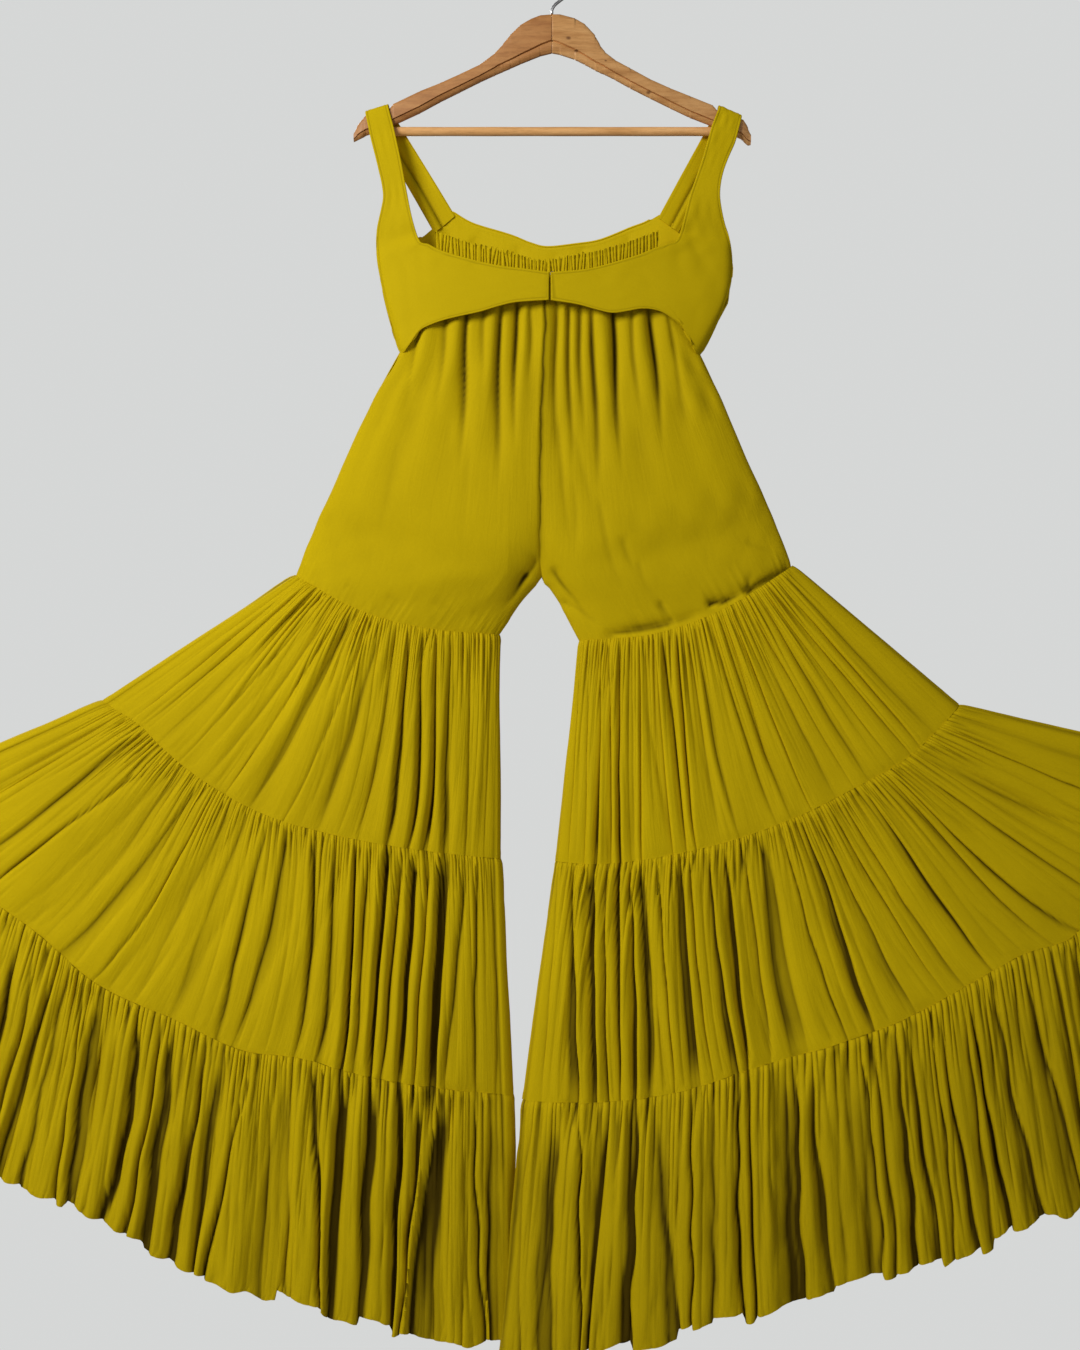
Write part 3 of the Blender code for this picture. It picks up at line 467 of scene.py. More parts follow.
def shell(name, outer, closed, finish, wall=WALL, size=(1.0, 1.0), flip=False, valley=None):
    """Gives a grid of the cloth's outer face its wall: the inner face is the outer one moved
    in by the wall, and a strip closes each free edge. size is the cloth's width and length
    in metres, for the weave's UVs."""
    rows, columns = outer.shape[:2]
    out = normals_of(outer, closed)
    if flip:
        out = -out
    inner = outer - out * wall
    points = np.concatenate([outer.reshape(-1, 3), inner.reshape(-1, 3)]) * MM
    spans = columns if closed else columns - 1
    r = np.arange(rows - 1)[:, None]
    c = np.arange(spans)[None, :]
    n = (c + 1) % columns
    a, b = r * columns + c, r * columns + n
    d, e = (r + 1) * columns + c, (r + 1) * columns + n
    face = np.stack([a, d, e, b], axis=-1).reshape(-1, 4)
    u0, u1 = c / spans * size[0] + 0 * r, (c + 1) / spans * size[0] + 0 * r
    v0, v1 = r / (rows - 1) * size[1] + 0 * c, (r + 1) / (rows - 1) * size[1] + 0 * c
    uv = np.stack([np.stack([u0, v0], -1), np.stack([u0, v1], -1),
                   np.stack([u1, v1], -1), np.stack([u1, v0], -1)], axis=2)
    uv = uv.reshape(-1, 4, 2)
    if flip:
        face, uv = face[:, ::-1], uv[:, ::-1]
    back, back_uv = face[:, ::-1] + rows * columns, uv[:, ::-1]
    total = rows * columns
    c1 = np.arange(spans)
    n1 = (c1 + 1) % columns
    low = (rows - 1) * columns
    strips = [np.stack([c1, n1, n1 + total, c1 + total], -1),
              np.stack([low + n1, low + c1, low + c1 + total, low + n1 + total], -1)]
    if not closed:
        r1 = np.arange(rows - 1) * columns
        s1 = r1 + columns
        end = columns - 1
        strips += [np.stack([s1, r1, r1 + total, s1 + total], -1),
                   np.stack([r1 + end, s1 + end, s1 + end + total, r1 + end + total], -1)]
    rim = np.concatenate(strips)
    if flip:
        rim = rim[:, ::-1]
    rim_uv = np.zeros((len(rim), 4, 2))
    quads = np.concatenate([face, back, rim])
    if valley is not None:
        valley = np.tile(valley.ravel(), 2)
    return build_mesh(name, points, quads, np.concatenate([uv, back_uv, rim_uv]), finish, valley)


def stand_for(made, name):
    """Hides the part's solid that a piece stands in for."""
    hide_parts(name)


# Finishes
def node(tree, kind, **values):
    """Adds a node and sets its inputs by name and its own settings by attribute."""
    made = tree.nodes.new(kind)
    for key, value in values.items():
        if key in made.inputs:
            made.inputs[key].default_value = value
        else:
            setattr(made, key, value)
    return made


def start_finish(name):
    """Starts a node material and returns it with its tree and its shader."""
    made = bpy.data.materials.new(name)
    made.use_nodes = True
    return made, made.node_tree, made.node_tree.nodes["Principled BSDF"]


def ramp(tree, share, stops):
    """Turns a share into a colour by a ramp of (place, colour) stops."""
    made = tree.nodes.new("ShaderNodeValToRGB")
    band = made.color_ramp
    while len(band.elements) < len(stops):
        band.elements.new(0.5)
    for element, (place, colour) in zip(band.elements, stops):
        element.position = place
        element.color = (*colour, 1.0)
    tree.links.new(share, made.inputs["Fac"])
    return made.outputs["Color"]


def stretched(tree, vector, scale, turn=0.0):
    """Turns a coordinate about Y and scales it."""
    made = node(tree, "ShaderNodeMapping", Rotation=(0.0, turn, 0.0), Scale=scale)
    tree.links.new(vector, made.inputs["Vector"])
    return made.outputs["Vector"]


def noise(tree, vector, **values):
    """Reads soft noise from 0 to 1 at a coordinate."""
    made = node(tree, "ShaderNodeTexNoise", **values)
    tree.links.new(vector, made.inputs["Vector"])
    return made.outputs["Fac"]


def remapped(tree, value, source, target, **values):
    """Maps a value from the range source to the range target."""
    made = node(tree, "ShaderNodeMapRange", **values)
    for key, number in zip(("From Min", "From Max", "To Min", "To Max"), source + target):
        made.inputs[key].default_value = number
    tree.links.new(value, made.inputs["Value"])
    return made.outputs["Result"]


def combined(tree, operation, first, second, third=None):
    """Works out two or three sockets or numbers with a math node."""
    made = node(tree, "ShaderNodeMath", operation=operation)
    for socket, value in zip(made.inputs, (first, second, third)):
        if isinstance(value, bpy.types.NodeSocket):
            tree.links.new(value, socket)
        elif value is not None:
            socket.default_value = value
    return made.outputs[0]


def mixed(tree, share, first, second, **values):
    """Mixes two colours; share and second are sockets or constants."""
    made = node(tree, "ShaderNodeMix", data_type="RGBA", **values)
    for socket, value in ((made.inputs["Factor"], share), (made.inputs[6], first),
                          (made.inputs[7], second)):
        if isinstance(value, bpy.types.NodeSocket):
            tree.links.new(value, socket)
        else:
            socket.default_value = value
    return made.outputs[2]


def bumped(tree, height, strength, distance, over=None):
    """Raises a bump by height, on top of another normal if there is one."""
    made = node(tree, "ShaderNodeBump", Strength=strength, Distance=distance)
    tree.links.new(height, made.inputs["Height"])
    if over is not None:
        tree.links.new(over, made.inputs["Normal"])
    return made.outputs["Normal"]


def crepe_finish(name, light, deep, weave=0.35, crinkle=0.25, roughness=0.8, seam=0.0):
    """Matt crepe: broad dye drift, fine mottling, painted shade that darkens the dye in the cloth's
    valleys, creases and gaps, a plain weave of two crossed thread waves along the cloth's own UVs,
    and crinkles that run down the cloth's length. seam adds the finest gathers, which fade out 70
    mm below the upper seam."""
    made, tree, shader = start_finish(name)
    link = tree.links.new
    place = node(tree, "ShaderNodeTexCoord").outputs
    broad = noise(tree, place["Object"], Scale=5.0, Detail=3.0)
    mottle = noise(tree, place["Object"], Scale=420.0, Detail=3.0)
    dye = ramp(tree, combined(tree, "MULTIPLY_ADD", mottle, 0.35, broad),
               [(0.35, deep), (0.95, light)])
    # Painted shade: the valley attribute darkens the dye in hollows, creases and gaps
    valley = node(tree, "ShaderNodeAttribute", attribute_name="valley")
    link(mixed(tree, valley.outputs["Fac"], dye, VALLEY_SHADE, blend_type="MULTIPLY"),
         shader.inputs["Base Color"])
    threads = []
    for direction in ("X", "Y"):
        wave = node(tree, "ShaderNodeTexWave", Scale=620.0, Distortion=1.2,
                    bands_direction=direction)
        link(place["UV"], wave.inputs["Vector"])
        threads.append(wave)
    threads[0].inputs["Detail"].default_value = 1.0
    cross = combined(tree, "MAXIMUM", threads[0].outputs["Fac"], threads[1].outputs["Fac"])
    height = noise(tree, stretched(tree, place["UV"], (210.0, 22.0, 1.0)), Scale=1.0,
                   Detail=4.0, Distortion=0.6)
    if seam > 0:
        tuck = noise(tree, stretched(tree, place["UV"], (520.0, 9.0, 1.0)), Scale=1.0,
                     Detail=2.0)
        split = node(tree, "ShaderNodeSeparateXYZ")
        link(place["UV"], split.inputs["Vector"])
        fade = remapped(tree, split.outputs["Y"], (0.0, 0.07), (seam, 0.0),
                        interpolation_type="SMOOTHSTEP")
        height = combined(tree, "MULTIPLY_ADD", tuck, fade, height)
    crinkled = bumped(tree, height, crinkle, 0.0025)
    link(bumped(tree, cross, weave, 0.0002, over=crinkled), shader.inputs["Normal"])
    shader.inputs["Roughness"].default_value = roughness
    shader.inputs["Specular IOR Level"].default_value = 0.07
    shader.inputs["Sheen Weight"].default_value = 0.02
    shader.inputs["Sheen Roughness"].default_value = 0.5
    shader.inputs["Sheen Tint"].default_value = (1.0, 0.75, 0.05, 1.0)
    return made


def wood_finish(name, light, mid, dark, turn, knots):
    """Varnished beech: long grain from a stretched noise, darker pores, and round knots at
    (x, z, radius) in mm. turn lays the grain along the arm."""
    made, tree, shader = start_finish(name)
    link = tree.links.new
    place = node(tree, "ShaderNodeTexCoord").outputs["Object"]
    lay = stretched(tree, place, (9.0, 60.0, 70.0), turn)
    grain = noise(tree, lay, Scale=1.6, Detail=6.0, Roughness=0.62, Distortion=0.5)
    lines = noise(tree, lay, Scale=7.0, Detail=4.0, Roughness=0.7)
    tone = ramp(tree, grain, [(0.28, dark), (0.5, mid), (0.72, light)])
    pores = ramp(tree, lines, [(0.36, (0.55, 0.5, 0.45)), (0.52, (1.0, 1.0, 1.0))])
    colour = mixed(tree, 0.34, tone, pores, blend_type="MULTIPLY")
    knot_colour = (dark[0] * 0.35, dark[1] * 0.3, dark[2] * 0.3, 1.0)
    squeeze = 1.4
    for x, z, size in knots:
        away = node(tree, "ShaderNodeVectorMath", operation="DISTANCE")
        link(stretched(tree, place, (1.0, 0.0, squeeze)), away.inputs[0])
        away.inputs[1].default_value = (x * MM, 0.0, z * MM * squeeze)
        spot = remapped(tree, away.outputs["Value"], (size * MM * 0.35, size * MM), (0.85, 0.0))
        colour = mixed(tree, spot, colour, knot_colour)
    link(colour, shader.inputs["Base Color"])
    link(bumped(tree, lines, 0.25, 0.0004), shader.inputs["Normal"])
    shader.inputs["Roughness"].default_value = 0.5
    shader.inputs["Specular IOR Level"].default_value = 0.3
    shader.inputs["Coat Weight"].default_value = 0.06
    shader.inputs["Coat Roughness"].default_value = 0.3
    return made


def steel_finish(name):
    """Plated wire: bright metal with a drawn, faintly uneven surface."""
    made, tree, shader = start_finish(name)
    link = tree.links.new
    place = node(tree, "ShaderNodeTexCoord").outputs["Object"]
    drawn = noise(tree, place, Scale=900.0, Detail=3.0)
    link(ramp(tree, drawn, [(0.3, (0.42, 0.42, 0.43)), (0.7, (0.62, 0.62, 0.63))]),
         shader.inputs["Base Color"])
    link(remapped(tree, drawn, (0.0, 1.0), (0.22, 0.42)), shader.inputs["Roughness"])
    link(bumped(tree, drawn, 0.15, 0.0001), shader.inputs["Normal"])
    shader.inputs["Metallic"].default_value = 1.0
    return made


# Painted shade: the dye is multiplied by this where the cloth lies deepest, in its valleys, creases
# and gaps
VALLEY_SHADE = (0.11, 0.096, 0.13, 1.0)
LIGHT_DYE, DEEP_DYE = (0.63, 0.452, 0.0012), (0.53, 0.376, 0.0010)
crepe = crepe_finish("crepe_georgette", LIGHT_DYE, DEEP_DYE, crinkle=0.16)
gathered_crepe = crepe_finish("gathered_crepe", LIGHT_DYE, DEEP_DYE, crinkle=0.19, seam=2.4)
hem_crepe = crepe_finish("hem_crepe", LIGHT_DYE, DEEP_DYE, crinkle=0.13, seam=3.2)
# Painted light: a lighter copy of the crepe for the front bodice's inside, where it faces the light
painted_lit_crepe = crepe_finish("front_crepe_painted_light", (0.70, 0.505, 0.0014), (0.64, 0.46, 0.0012), weave=0.3,
                         crinkle=0.1, roughness=0.6)
bodice_crepe = crepe_finish("bodice_crepe", LIGHT_DYE, (0.56, 0.40, 0.0011), weave=0.3,
                            crinkle=0.07, roughness=0.74)
ruched = crepe_finish("ruched_elastic", LIGHT_DYE, DEEP_DYE, crinkle=0.3)
beech_left = wood_finish("beech_left", (0.55, 0.262, 0.085), (0.48, 0.212, 0.064),
                         (0.38, 0.155, 0.044), -0.45, [])
beech_right = wood_finish("beech_right", (0.76, 0.42, 0.16), (0.66, 0.335, 0.115),
                          (0.46, 0.205, 0.06), 0.46,
                          [(18.4, -84.0, 3.6), (27.0, -97.7, 3.0), (108.5, -141.3, 3.4),
                           (140.0, -163.0, 2.0), (60.0, -108.0, 1.8)])
beech_bar = wood_finish("beech_bar", (0.93, 0.53, 0.215), (0.85, 0.45, 0.165),
                        (0.66, 0.32, 0.10), 0.0, [])
steel = steel_finish("plated_steel")


# Legs
def on_line(line, share):
    """Reads x and z of a seam line at shares of its length."""
    places = np.arange(LINE_POINTS)
    at = share * (LINE_POINTS - 1)
    return np.interp(at, places, line[:, 0]), np.interp(at, places, line[:, 1])


def leg_loops(side):
    """Gives each seam's loop round one leg at evenly spaced points: along the near layer
    from the inner to the outer edge and back along the far layer. The loop is an ellipse in
    (share of the seam line, y). Also gives the outward direction at each point."""
    hand = 0 if side == "left" else 1
    angle = np.linspace(0, TAU, 8001)
    share = (1 - np.cos(angle)) / 2
    loops = {}
    for name in SEAMS:
        x, z = on_line(smooth_line(LEG_SEAMS[side][name], LINE_POINTS), share)
        y = LEG_INNER_Y[name][hand] * (1 - share) ** 2 - LEG_DEPTH[name] * np.sin(angle)
        loops[name] = walk(np.stack([x, y, z], axis=1), LOOP_POINTS, to_end=False)
    outward = {}
    for i, name in enumerate(SEAMS):
        above = loops[SEAMS[max(i - 1, 0)]]
        below = loops[SEAMS[min(i + 1, 3)]]
        along = unit(np.roll(loops[name], -1, axis=0) - np.roll(loops[name], 1, axis=0))
        if name == "knee":
            turn = np.linspace(0, TAU, LOOP_POINTS, endpoint=False)
            part = ((1 - np.cos(turn)) / 2)[:, None]
            inner_run, side_run = (np.array(run, float) for run in YOKE_RUN[side])
            above = loops[name] - unit(inner_run * (1 - part) + side_run * part)
            below = loops[name] + unit(below - loops[name])
        out = unit(np.cross(along, unit(below - above)))
        outward[name] = out if side == "left" else -out
    return loops, outward


def round_leg(values, t):
    """Reads a loop's values at shares t of the way round, in between its points."""
    at = (t % 1.0) * len(values)
    low = np.floor(at).astype(int)
    part = (at - low)[..., None]
    return values[low % len(values)] * (1 - part) + values[(low + 1) % len(values)] * part


def uneven(w, side):
    """Shifts the waves round a leg so that their widths differ, as in the part."""
    lean = 0.0 if side == "left" else 1.7
    return (w + 0.005 * np.sin(TAU * 3 * w + 1.0 + lean)
            + 0.003 * np.sin(TAU * 7 * w + 2.0 + lean))


def wave_height(w, side):
    """Varies the waves' depth round a leg, as in the part."""
    lean = 0.4 if side == "left" else 2.1
    edges = 0.45 + 0.55 * np.abs(np.sin(TAU * w)) ** 0.6
    return edges * (1 + 0.22 * np.sin(TAU * 4 * w + lean) + 0.16 * np.sin(TAU * 9 * w + 2 * lean))


def pleat(w, count):
    """A wave with broad ridges and narrow troughs: 1 - 2((1 - cos) / 2)^1.7."""
    return 1 - 2 * ((1 - np.cos(TAU * count * w)) / 2) ** 1.7


# Valleys between the seen folds, in order from the inner edge to the outer one: place at the
# tier's top, middle and foot (thousandths round the leg), depth there (mm).
FOLDS = {
    ("upper", "left"): [
        (14, 12, 12, 1, 2, 2), (68, 46, 36, 1, 2, 2), (107, 82, 64, 3, 6, 9),
        (145, 99, 87, 3, 7, 8), (185, 122, 104, 3.5, 7, 7), (215, 155, 128, 3, 7, 6),
        (240, 188, 166, 3, 3, 2), (262, 231, 216, 3.5, 5.5, 3.5), (285, 257, 249, 2.5, 2, 2),
        (328, 298, 286, 4.5, 6.5, 3.5), (350, 327, 318, 3, 2, 1),
        (370, 350, 348, 3.5, 3.5, 2), (395, 383, 380, 2, 1.5, 1),
        (425, 414, 410, 2, 1, 1), (456, 442, 440, 3.5, 4, 1.5), (478, 462, 458, 3, 2, 1),
    ],
    ("middle", "left"): [
        (4, 2, 4, 4, 5, 5), (19, 22, 20, 4, 5, 4), (33, 41, 45, 3, 4, 3),
        (64, 58, 54, 11, 15, 14), (77, 72, 68, 4, 6, 7), (96, 86, 80, 10, 11, 8),
        (108, 98, 91, 4, 6, 5), (126, 110, 99, 12, 11, 9), (150, 124, 110, 4, 4, 3),
        (168, 134, 119, 4, 10, 12), (200, 155, 138, 4, 4, 3), (222, 176, 156, 5, 6, 4),
        (245, 216, 205, 3.5, 4, 2.5), (262, 236, 216, 2.5, 4.5, 3.5),
        (284, 262, 246, 2.5, 1.5, 1), (303, 281, 271, 3, 2.5, 2),
        (332, 303, 300, 3.5, 3.5, 2), (348, 332, 331, 2.5, 2.5, 2),
        (372, 352, 346, 3.5, 2, 1.5), (392, 397, 394, 2.5, 4.5, 3),
        (440, 421, 417, 4, 3.5, 1.5), (473, 468, 462, 2.5, 3, 1.5),
    ],
    ("hem", "left"): [
        (5, 9, 11, 6, 8, 9), (21, 19, 13, 5, 8, 6), (46, 61, 70, 8, 11, 13),
        (64, 68, 74, 9, 9, 6), (78, 79, 80, 11, 12, 9), (97, 100, 100, 7, 8, 6),
        (118, 120, 121, 12, 10, 7), (143, 131, 124, 4, 8, 9), (156, 161, 158, 5, 9, 11),
        (186, 200, 208, 5, 7, 9), (212, 216, 215, 5, 8, 7), (222, 226, 232, 5, 8, 9),
        (243, 246, 246, 5, 9, 11), (252, 251, 257, 5, 7, 8), (266, 264, 271, 6, 8, 7),
        (294, 296, 294, 5, 9, 11), (303, 303, 300, 4, 5, 4), (322, 323, 324, 4, 3, 5),
        (332, 337, 342, 4, 8, 9), (350, 347, 352, 4, 6, 7), (366, 362, 368, 5, 7, 8),
        (383, 386, 383, 5, 7, 8), (399, 404, 408, 4, 8, 9), (414, 419, 416, 4, 5, 6),
        (430, 436, 438, 5, 8, 9), (447, 450, 455, 5, 6, 6), (468, 470, 473, 5, 7, 8),
        (484, 486, 488, 4, 5, 6),
    ],
    ("upper", "right"): [
        (8, 14, 16, 2, 3, 2), (30, 34, 36, 2, 2, 2), (52, 53, 49, 2, 5, 12),
        (70, 68, 65, 3, 4, 3), (93, 80, 75, 3.5, 7, 12), (118, 99, 90, 3, 2, 1),
        (137, 112, 98, 4, 6, 6), (168, 147, 137, 2.5, 3.5, 4), (180, 164, 152, 4, 6, 4),
        (208, 178, 163, 5.5, 9, 4), (226, 200, 188, 3, 2.5, 1.5), (240, 211, 205, 3, 4, 2),
        (275, 250, 244, 3, 3.5, 1.5), (300, 270, 262, 3, 3, 1), (330, 302, 290, 4, 4, 2.5),
        (346, 331, 322, 2.5, 3.5, 1.5), (363, 350, 344, 2, 1, 1), (397, 371, 363, 3.5, 4.5, 3),
        (414, 404, 400, 2, 1, 1), (430, 428, 426, 2, 3.5, 1.5), (452, 447, 442, 2, 4.5, 2.5),
        (473, 464, 463, 2, 3.5, 2),
    ],
    ("middle", "right"): [
        (4, 10, 12, 3, 3, 2), (21, 32, 38, 4, 8, 12), (47, 48, 50, 10, 10, 10),
        (60, 56, 57, 4, 5, 5), (73, 67, 64, 12, 8, 4), (84, 79, 73, 5, 7, 12),
        (94, 88, 81, 7, 8, 6), (115, 104, 97, 4, 4, 3), (143, 122, 112, 6, 10, 9),
        (155, 133, 124, 5, 4, 2), (175, 152, 143, 6, 7, 11), (190, 166, 149, 5, 9, 8),
        (205, 181, 164, 5, 3, 2), (225, 192, 178, 5, 9, 8), (245, 217, 206, 3, 2.5, 3),
        (272, 239, 220, 4.5, 8, 6), (290, 260, 246, 4, 3, 2), (310, 282, 270, 4, 3, 1.5),
        (325, 297, 284, 3, 2.5, 1.5), (352, 323, 306, 3.5, 5.5, 4), (383, 356, 348, 3.5, 3.5, 2),
        (390, 366, 366, 3, 4, 2.5), (412, 399, 394, 3.5, 3.5, 2.5), (431, 431, 428, 2.5, 3, 1.5),
        (468, 464, 460, 2.5, 2.5, 1.5), (487, 484, 482, 2, 2, 1),
    ],
    ("hem", "right"): [
        (8, 6, 13, 5, 5, 6), (25, 22, 27, 6, 8, 9), (40, 44, 50, 10, 11, 9),
        (58, 55, 53, 5, 6, 7), (75, 75, 75, 12, 8, 9), (86, 92, 102, 3, 5, 8),
        (108, 110, 112, 7, 8, 8), (122, 124, 124, 3, 4, 5), (144, 140, 144, 7, 6, 7),
        (149, 150, 151, 8, 9, 11), (178, 177, 178, 8, 11, 12), (185, 188, 192, 4, 8, 6),
        (211, 215, 215, 4, 8, 9), (220, 221, 221, 5, 6, 6), (232, 233, 232, 6, 8, 11),
        (240, 242, 246, 4, 8, 8), (253, 256, 254, 4, 5, 5), (262, 265, 271, 3, 7, 8),
        (279, 281, 279, 5, 6, 6), (284, 289, 293, 3, 8, 11), (305, 308, 315, 5, 7, 11),
        (325, 334, 338, 4, 7, 7), (347, 347, 345, 5, 7, 8), (362, 360, 364, 5, 6, 8),
        (380, 384, 386, 5, 7, 9), (397, 394, 398, 4, 6, 7), (413, 418, 420, 5, 8, 9),
        (430, 433, 430, 4, 5, 6), (448, 446, 452, 5, 7, 8), (465, 468, 466, 5, 6, 8),
        (482, 485, 484, 4, 6, 6),
    ],
}
# Thin creases over the folds, in the same terms.
CREASES = {
    ("upper", "left"): [
        (75, 78, 80, 1.6, 0.4, 0), (128, 112, 100, 1.8, 0.5, 0), (160, 140, 120, 1.8, 0.6, 0),
        (200, 165, 150, 1.6, 1.2, 0), (230, 205, 190, 1.8, 1.0, 0), (252, 225, 210, 2, 0.6, 0),
        (268, 243, 230, 2, 0.6, 0), (276, 258, 250, 1.8, 0, 0), (303, 278, 270, 2, 0.6, 0),
        (340, 322, 315, 1.6, 0.6, 0), (408, 406, 404, 1.8, 0.5, 0), (480, 485, 485, 1.4, 1.2, 0),
        (376, 372, 368, 1.4, 0.2, 0), (388, 384, 380, 1.2, 0.6, 0.4),
    ],
    ("middle", "left"): [
        (45, 50, 52, 1.5, 1.5, 1), (86, 82, 76, 1.5, 2, 2), (116, 104, 96, 1.5, 2, 2),
        (138, 118, 106, 2, 2, 1), (185, 146, 128, 1.8, 1.5, 1), (210, 168, 150, 1.8, 1, 0.5),
        (232, 196, 180, 1.6, 1.5, 1), (255, 225, 212, 1.6, 0.5, 0), (272, 247, 232, 1.8, 2, 1),
        (290, 275, 268, 1.8, 0.2, 0), (312, 295, 290, 1.8, 0, 0), (320, 302, 295, 1.8, 0, 0),
        (340, 325, 318, 1.8, 0.4, 0), (358, 345, 340, 1.8, 0.6, 0), (364, 350, 345, 1.8, 0.4, 0),
        (378, 370, 371, 2, 1.6, 0.6), (402, 400, 398, 1.6, 0.4, 0), (416, 408, 404, 2.2, 1.2, 0),
        (424, 415, 410, 1.8, 0, 0), (450, 443, 440, 1.6, 0, 0), (456, 451, 448, 1, 1.4, 0),
        (483, 482, 480, 1.8, 1.4, 0), (321, 320, 317, 0, 0.6, 1.2),
    ],
    ("hem", "left"): [
        (30, 28, 22, 1.6, 1.2, 1), (38, 44, 44, 1.5, 1, 1.6), (90, 92, 90, 1.5, 1.5, 1.2),
        (106, 114, 116, 2, 2, 0.5), (128, 128, 124, 2, 1.5, 0), (135, 143, 140, 1.8, 1, 0.4),
        (166, 176, 180, 1.6, 0.6, 1), (190, 206, 214, 2, 2.4, 0), (196, 190, 185, 1, 0.6, 1),
        (232, 236, 240, 1.8, 1, 1.4), (258, 257, 262, 1.6, 1.6, 1), (276, 276, 280, 2, 2, 1.5),
        (284, 284, 288, 1.6, 0.8, 1.4), (312, 306, 310, 1.6, 1.2, 1), (318, 326, 330, 2, 1.6, 0),
        (340, 344, 346, 1.6, 1, 1), (358, 356, 360, 1.6, 1, 1), (376, 374, 376, 1.6, 1, 1.2),
    ],
    ("upper", "right"): [
        (12, 22, 26, 1.8, 1.6, 0), (44, 44, 44, 1.4, 0.8, 0.6), (62, 60, 58, 1.4, 1, 0.6),
        (105, 94, 86, 1.6, 0.4, 0), (128, 112, 104, 1.4, 0.2, 0), (150, 128, 118, 2, 1.4, 0),
        (160, 140, 130, 1.8, 1.2, 0), (196, 170, 158, 1.6, 2.4, 0.8),
        (218, 190, 180, 1.8, 0.4, 0), (262, 238, 228, 1.8, 1.2, 0), (283, 258, 250, 1.8, 1.5, 0),
        (314, 276, 246, 3, 3, 0), (322, 300, 290, 2, 0.4, 0), (338, 318, 310, 1.8, 1.4, 0),
        (436, 434, 430, 1.2, 1.2, 0.4), (458, 450, 446, 1.4, 0.4, 0), (480, 478, 478, 1, 0.6, 0),
    ],
    ("middle", "right"): [
        (13, 20, 24, 2, 1.4, 0), (30, 27, 28, 2, 1.6, 1), (38, 40, 42, 1.8, 2, 2),
        (66, 60, 60, 1.6, 2, 2), (103, 96, 90, 1.8, 2, 1.6), (124, 112, 104, 2, 1.6, 1),
        (134, 114, 104, 2, 2, 1.4), (166, 142, 132, 2, 2, 1.4), (184, 160, 150, 1.6, 1.8, 1),
        (198, 174, 158, 1.8, 1.4, 0), (214, 186, 172, 1.8, 1.6, 0.6), (235, 215, 208, 2.4, 0.4, 0),
        (256, 226, 212, 1.8, 1.8, 1.6), (265, 233, 218, 1.8, 2, 1.6), (280, 246, 230, 1.6, 2, 1.4),
        (297, 268, 255, 1.8, 0.6, 0), (317, 289, 276, 1.8, 0.8, 0), (338, 308, 290, 2, 0.6, 0),
        (345, 312, 296, 1.4, 0.4, 0), (362, 335, 318, 1.4, 1, 0.8), (375, 345, 334, 1.6, 0.4, 0),
        (402, 386, 376, 1.6, 0.8, 0), (422, 418, 416, 1.4, 1.6, 0), (430, 433, 452, 1, 3, 2.5),
        (436, 442, 446, 1, 1.4, 0.6), (472, 466, 462, 1.6, 1, 0), (455, 452, 440, 1.2, 1.4, 0.6),
    ],
    ("hem", "right"): [
        (16, 12, 18, 1.8, 1, 1), (32, 32, 36, 2, 1.6, 1.6), (48, 48, 52, 1.8, 1.4, 1),
        (66, 64, 62, 1.4, 0.6, 1), (82, 84, 88, 1.4, 1, 0.6), (98, 98, 106, 1.6, 1.2, 1),
        (116, 117, 118, 2, 1.4, 1), (130, 134, 132, 2, 1.6, 0.6), (137, 146, 147, 2, 2, 1),
        (158, 158, 160, 1.6, 0.8, 1), (168, 166, 168, 1.6, 0.4, 0.8),
        (196, 197, 198, 1.6, 1.2, 1.4), (204, 204, 206, 1.6, 0.6, 1.2),
        (226, 227, 228, 1.6, 1, 1), (246, 248, 250, 1.6, 2, 0.8),
        (260, 259, 262, 1.4, 1.6, 1), (270, 274, 276, 1.6, 1, 1), (296, 300, 304, 1.6, 1.6, 1),
        (316, 318, 322, 1.8, 1, 1), (334, 330, 332, 1.8, 2, 0.6), (354, 352, 354, 1.6, 1, 1),
        (371, 372, 374, 1.6, 1, 1),
    ],
}
# How far the folds run inward between the tier's seams: the seen folds curve.
FLOW = {("upper", "left"): 0.075, ("middle", "left"): 0.052, ("hem", "left"): 0.0,
        ("upper", "right"): 0.042, ("middle", "right"): 0.047, ("hem", "right"): 0.0}
# How each tier hangs: the seam above it; the part's waves at its upper and lower seam and their
# heights; the grid's columns; the numbers of fine and medium gathers, their depth and the share of
# the tier that they run down; the mixes keen and flat of fold_field and its wander; the crumples'
# depth; the number of stray creases and their depth; the depth at which a fold's painted shade
# turns full (dark), on the left and the right leg, and its growth (fade) away from the leg's inner
# edge.
TIER_PLANS = {
    "upper": dict(above="knee", waves_above=20, waves=20, start=1.2, end=5.0, columns=1000,
                  fine=190, medium=76, small=2.3, long=0.22, keen=0.1, flat=0.3,
                  rough=0.6, wander=0.3, stray=70, pressed=1.2, dark=(7.5, 7.5), fade=0.0),
    "middle": dict(above="upper", waves_above=20, waves=26, start=5.0, end=8.0, columns=1240,
                   fine=330, medium=120, small=2.3, long=0.17, keen=0.1, flat=0.5,
                   rough=0.9, wander=0.35, stray=110, pressed=1.7, dark=(6.2, 6.2), fade=0.2),
    "hem": dict(above="middle", waves_above=26, waves=32, start=8.0, end=13.0, columns=1300,
                fine=320, medium=110, small=3.0, long=0.26, keen=0.16, flat=0.85,
                rough=1.6, wander=0.6, stray=200, pressed=3.0, dark=(5.0, 7.4), fade=1.1),
}
# The share of a tier's columns on the near layer
NEAR_SHARE = 0.72
# Painted shade where the light falls off: the hem darkens towards its foot, more on the right leg,
# by this share of a valley's full painted shade
HEM_FALLOFF_SHADE = {"left": 0.09, "right": 0.15}


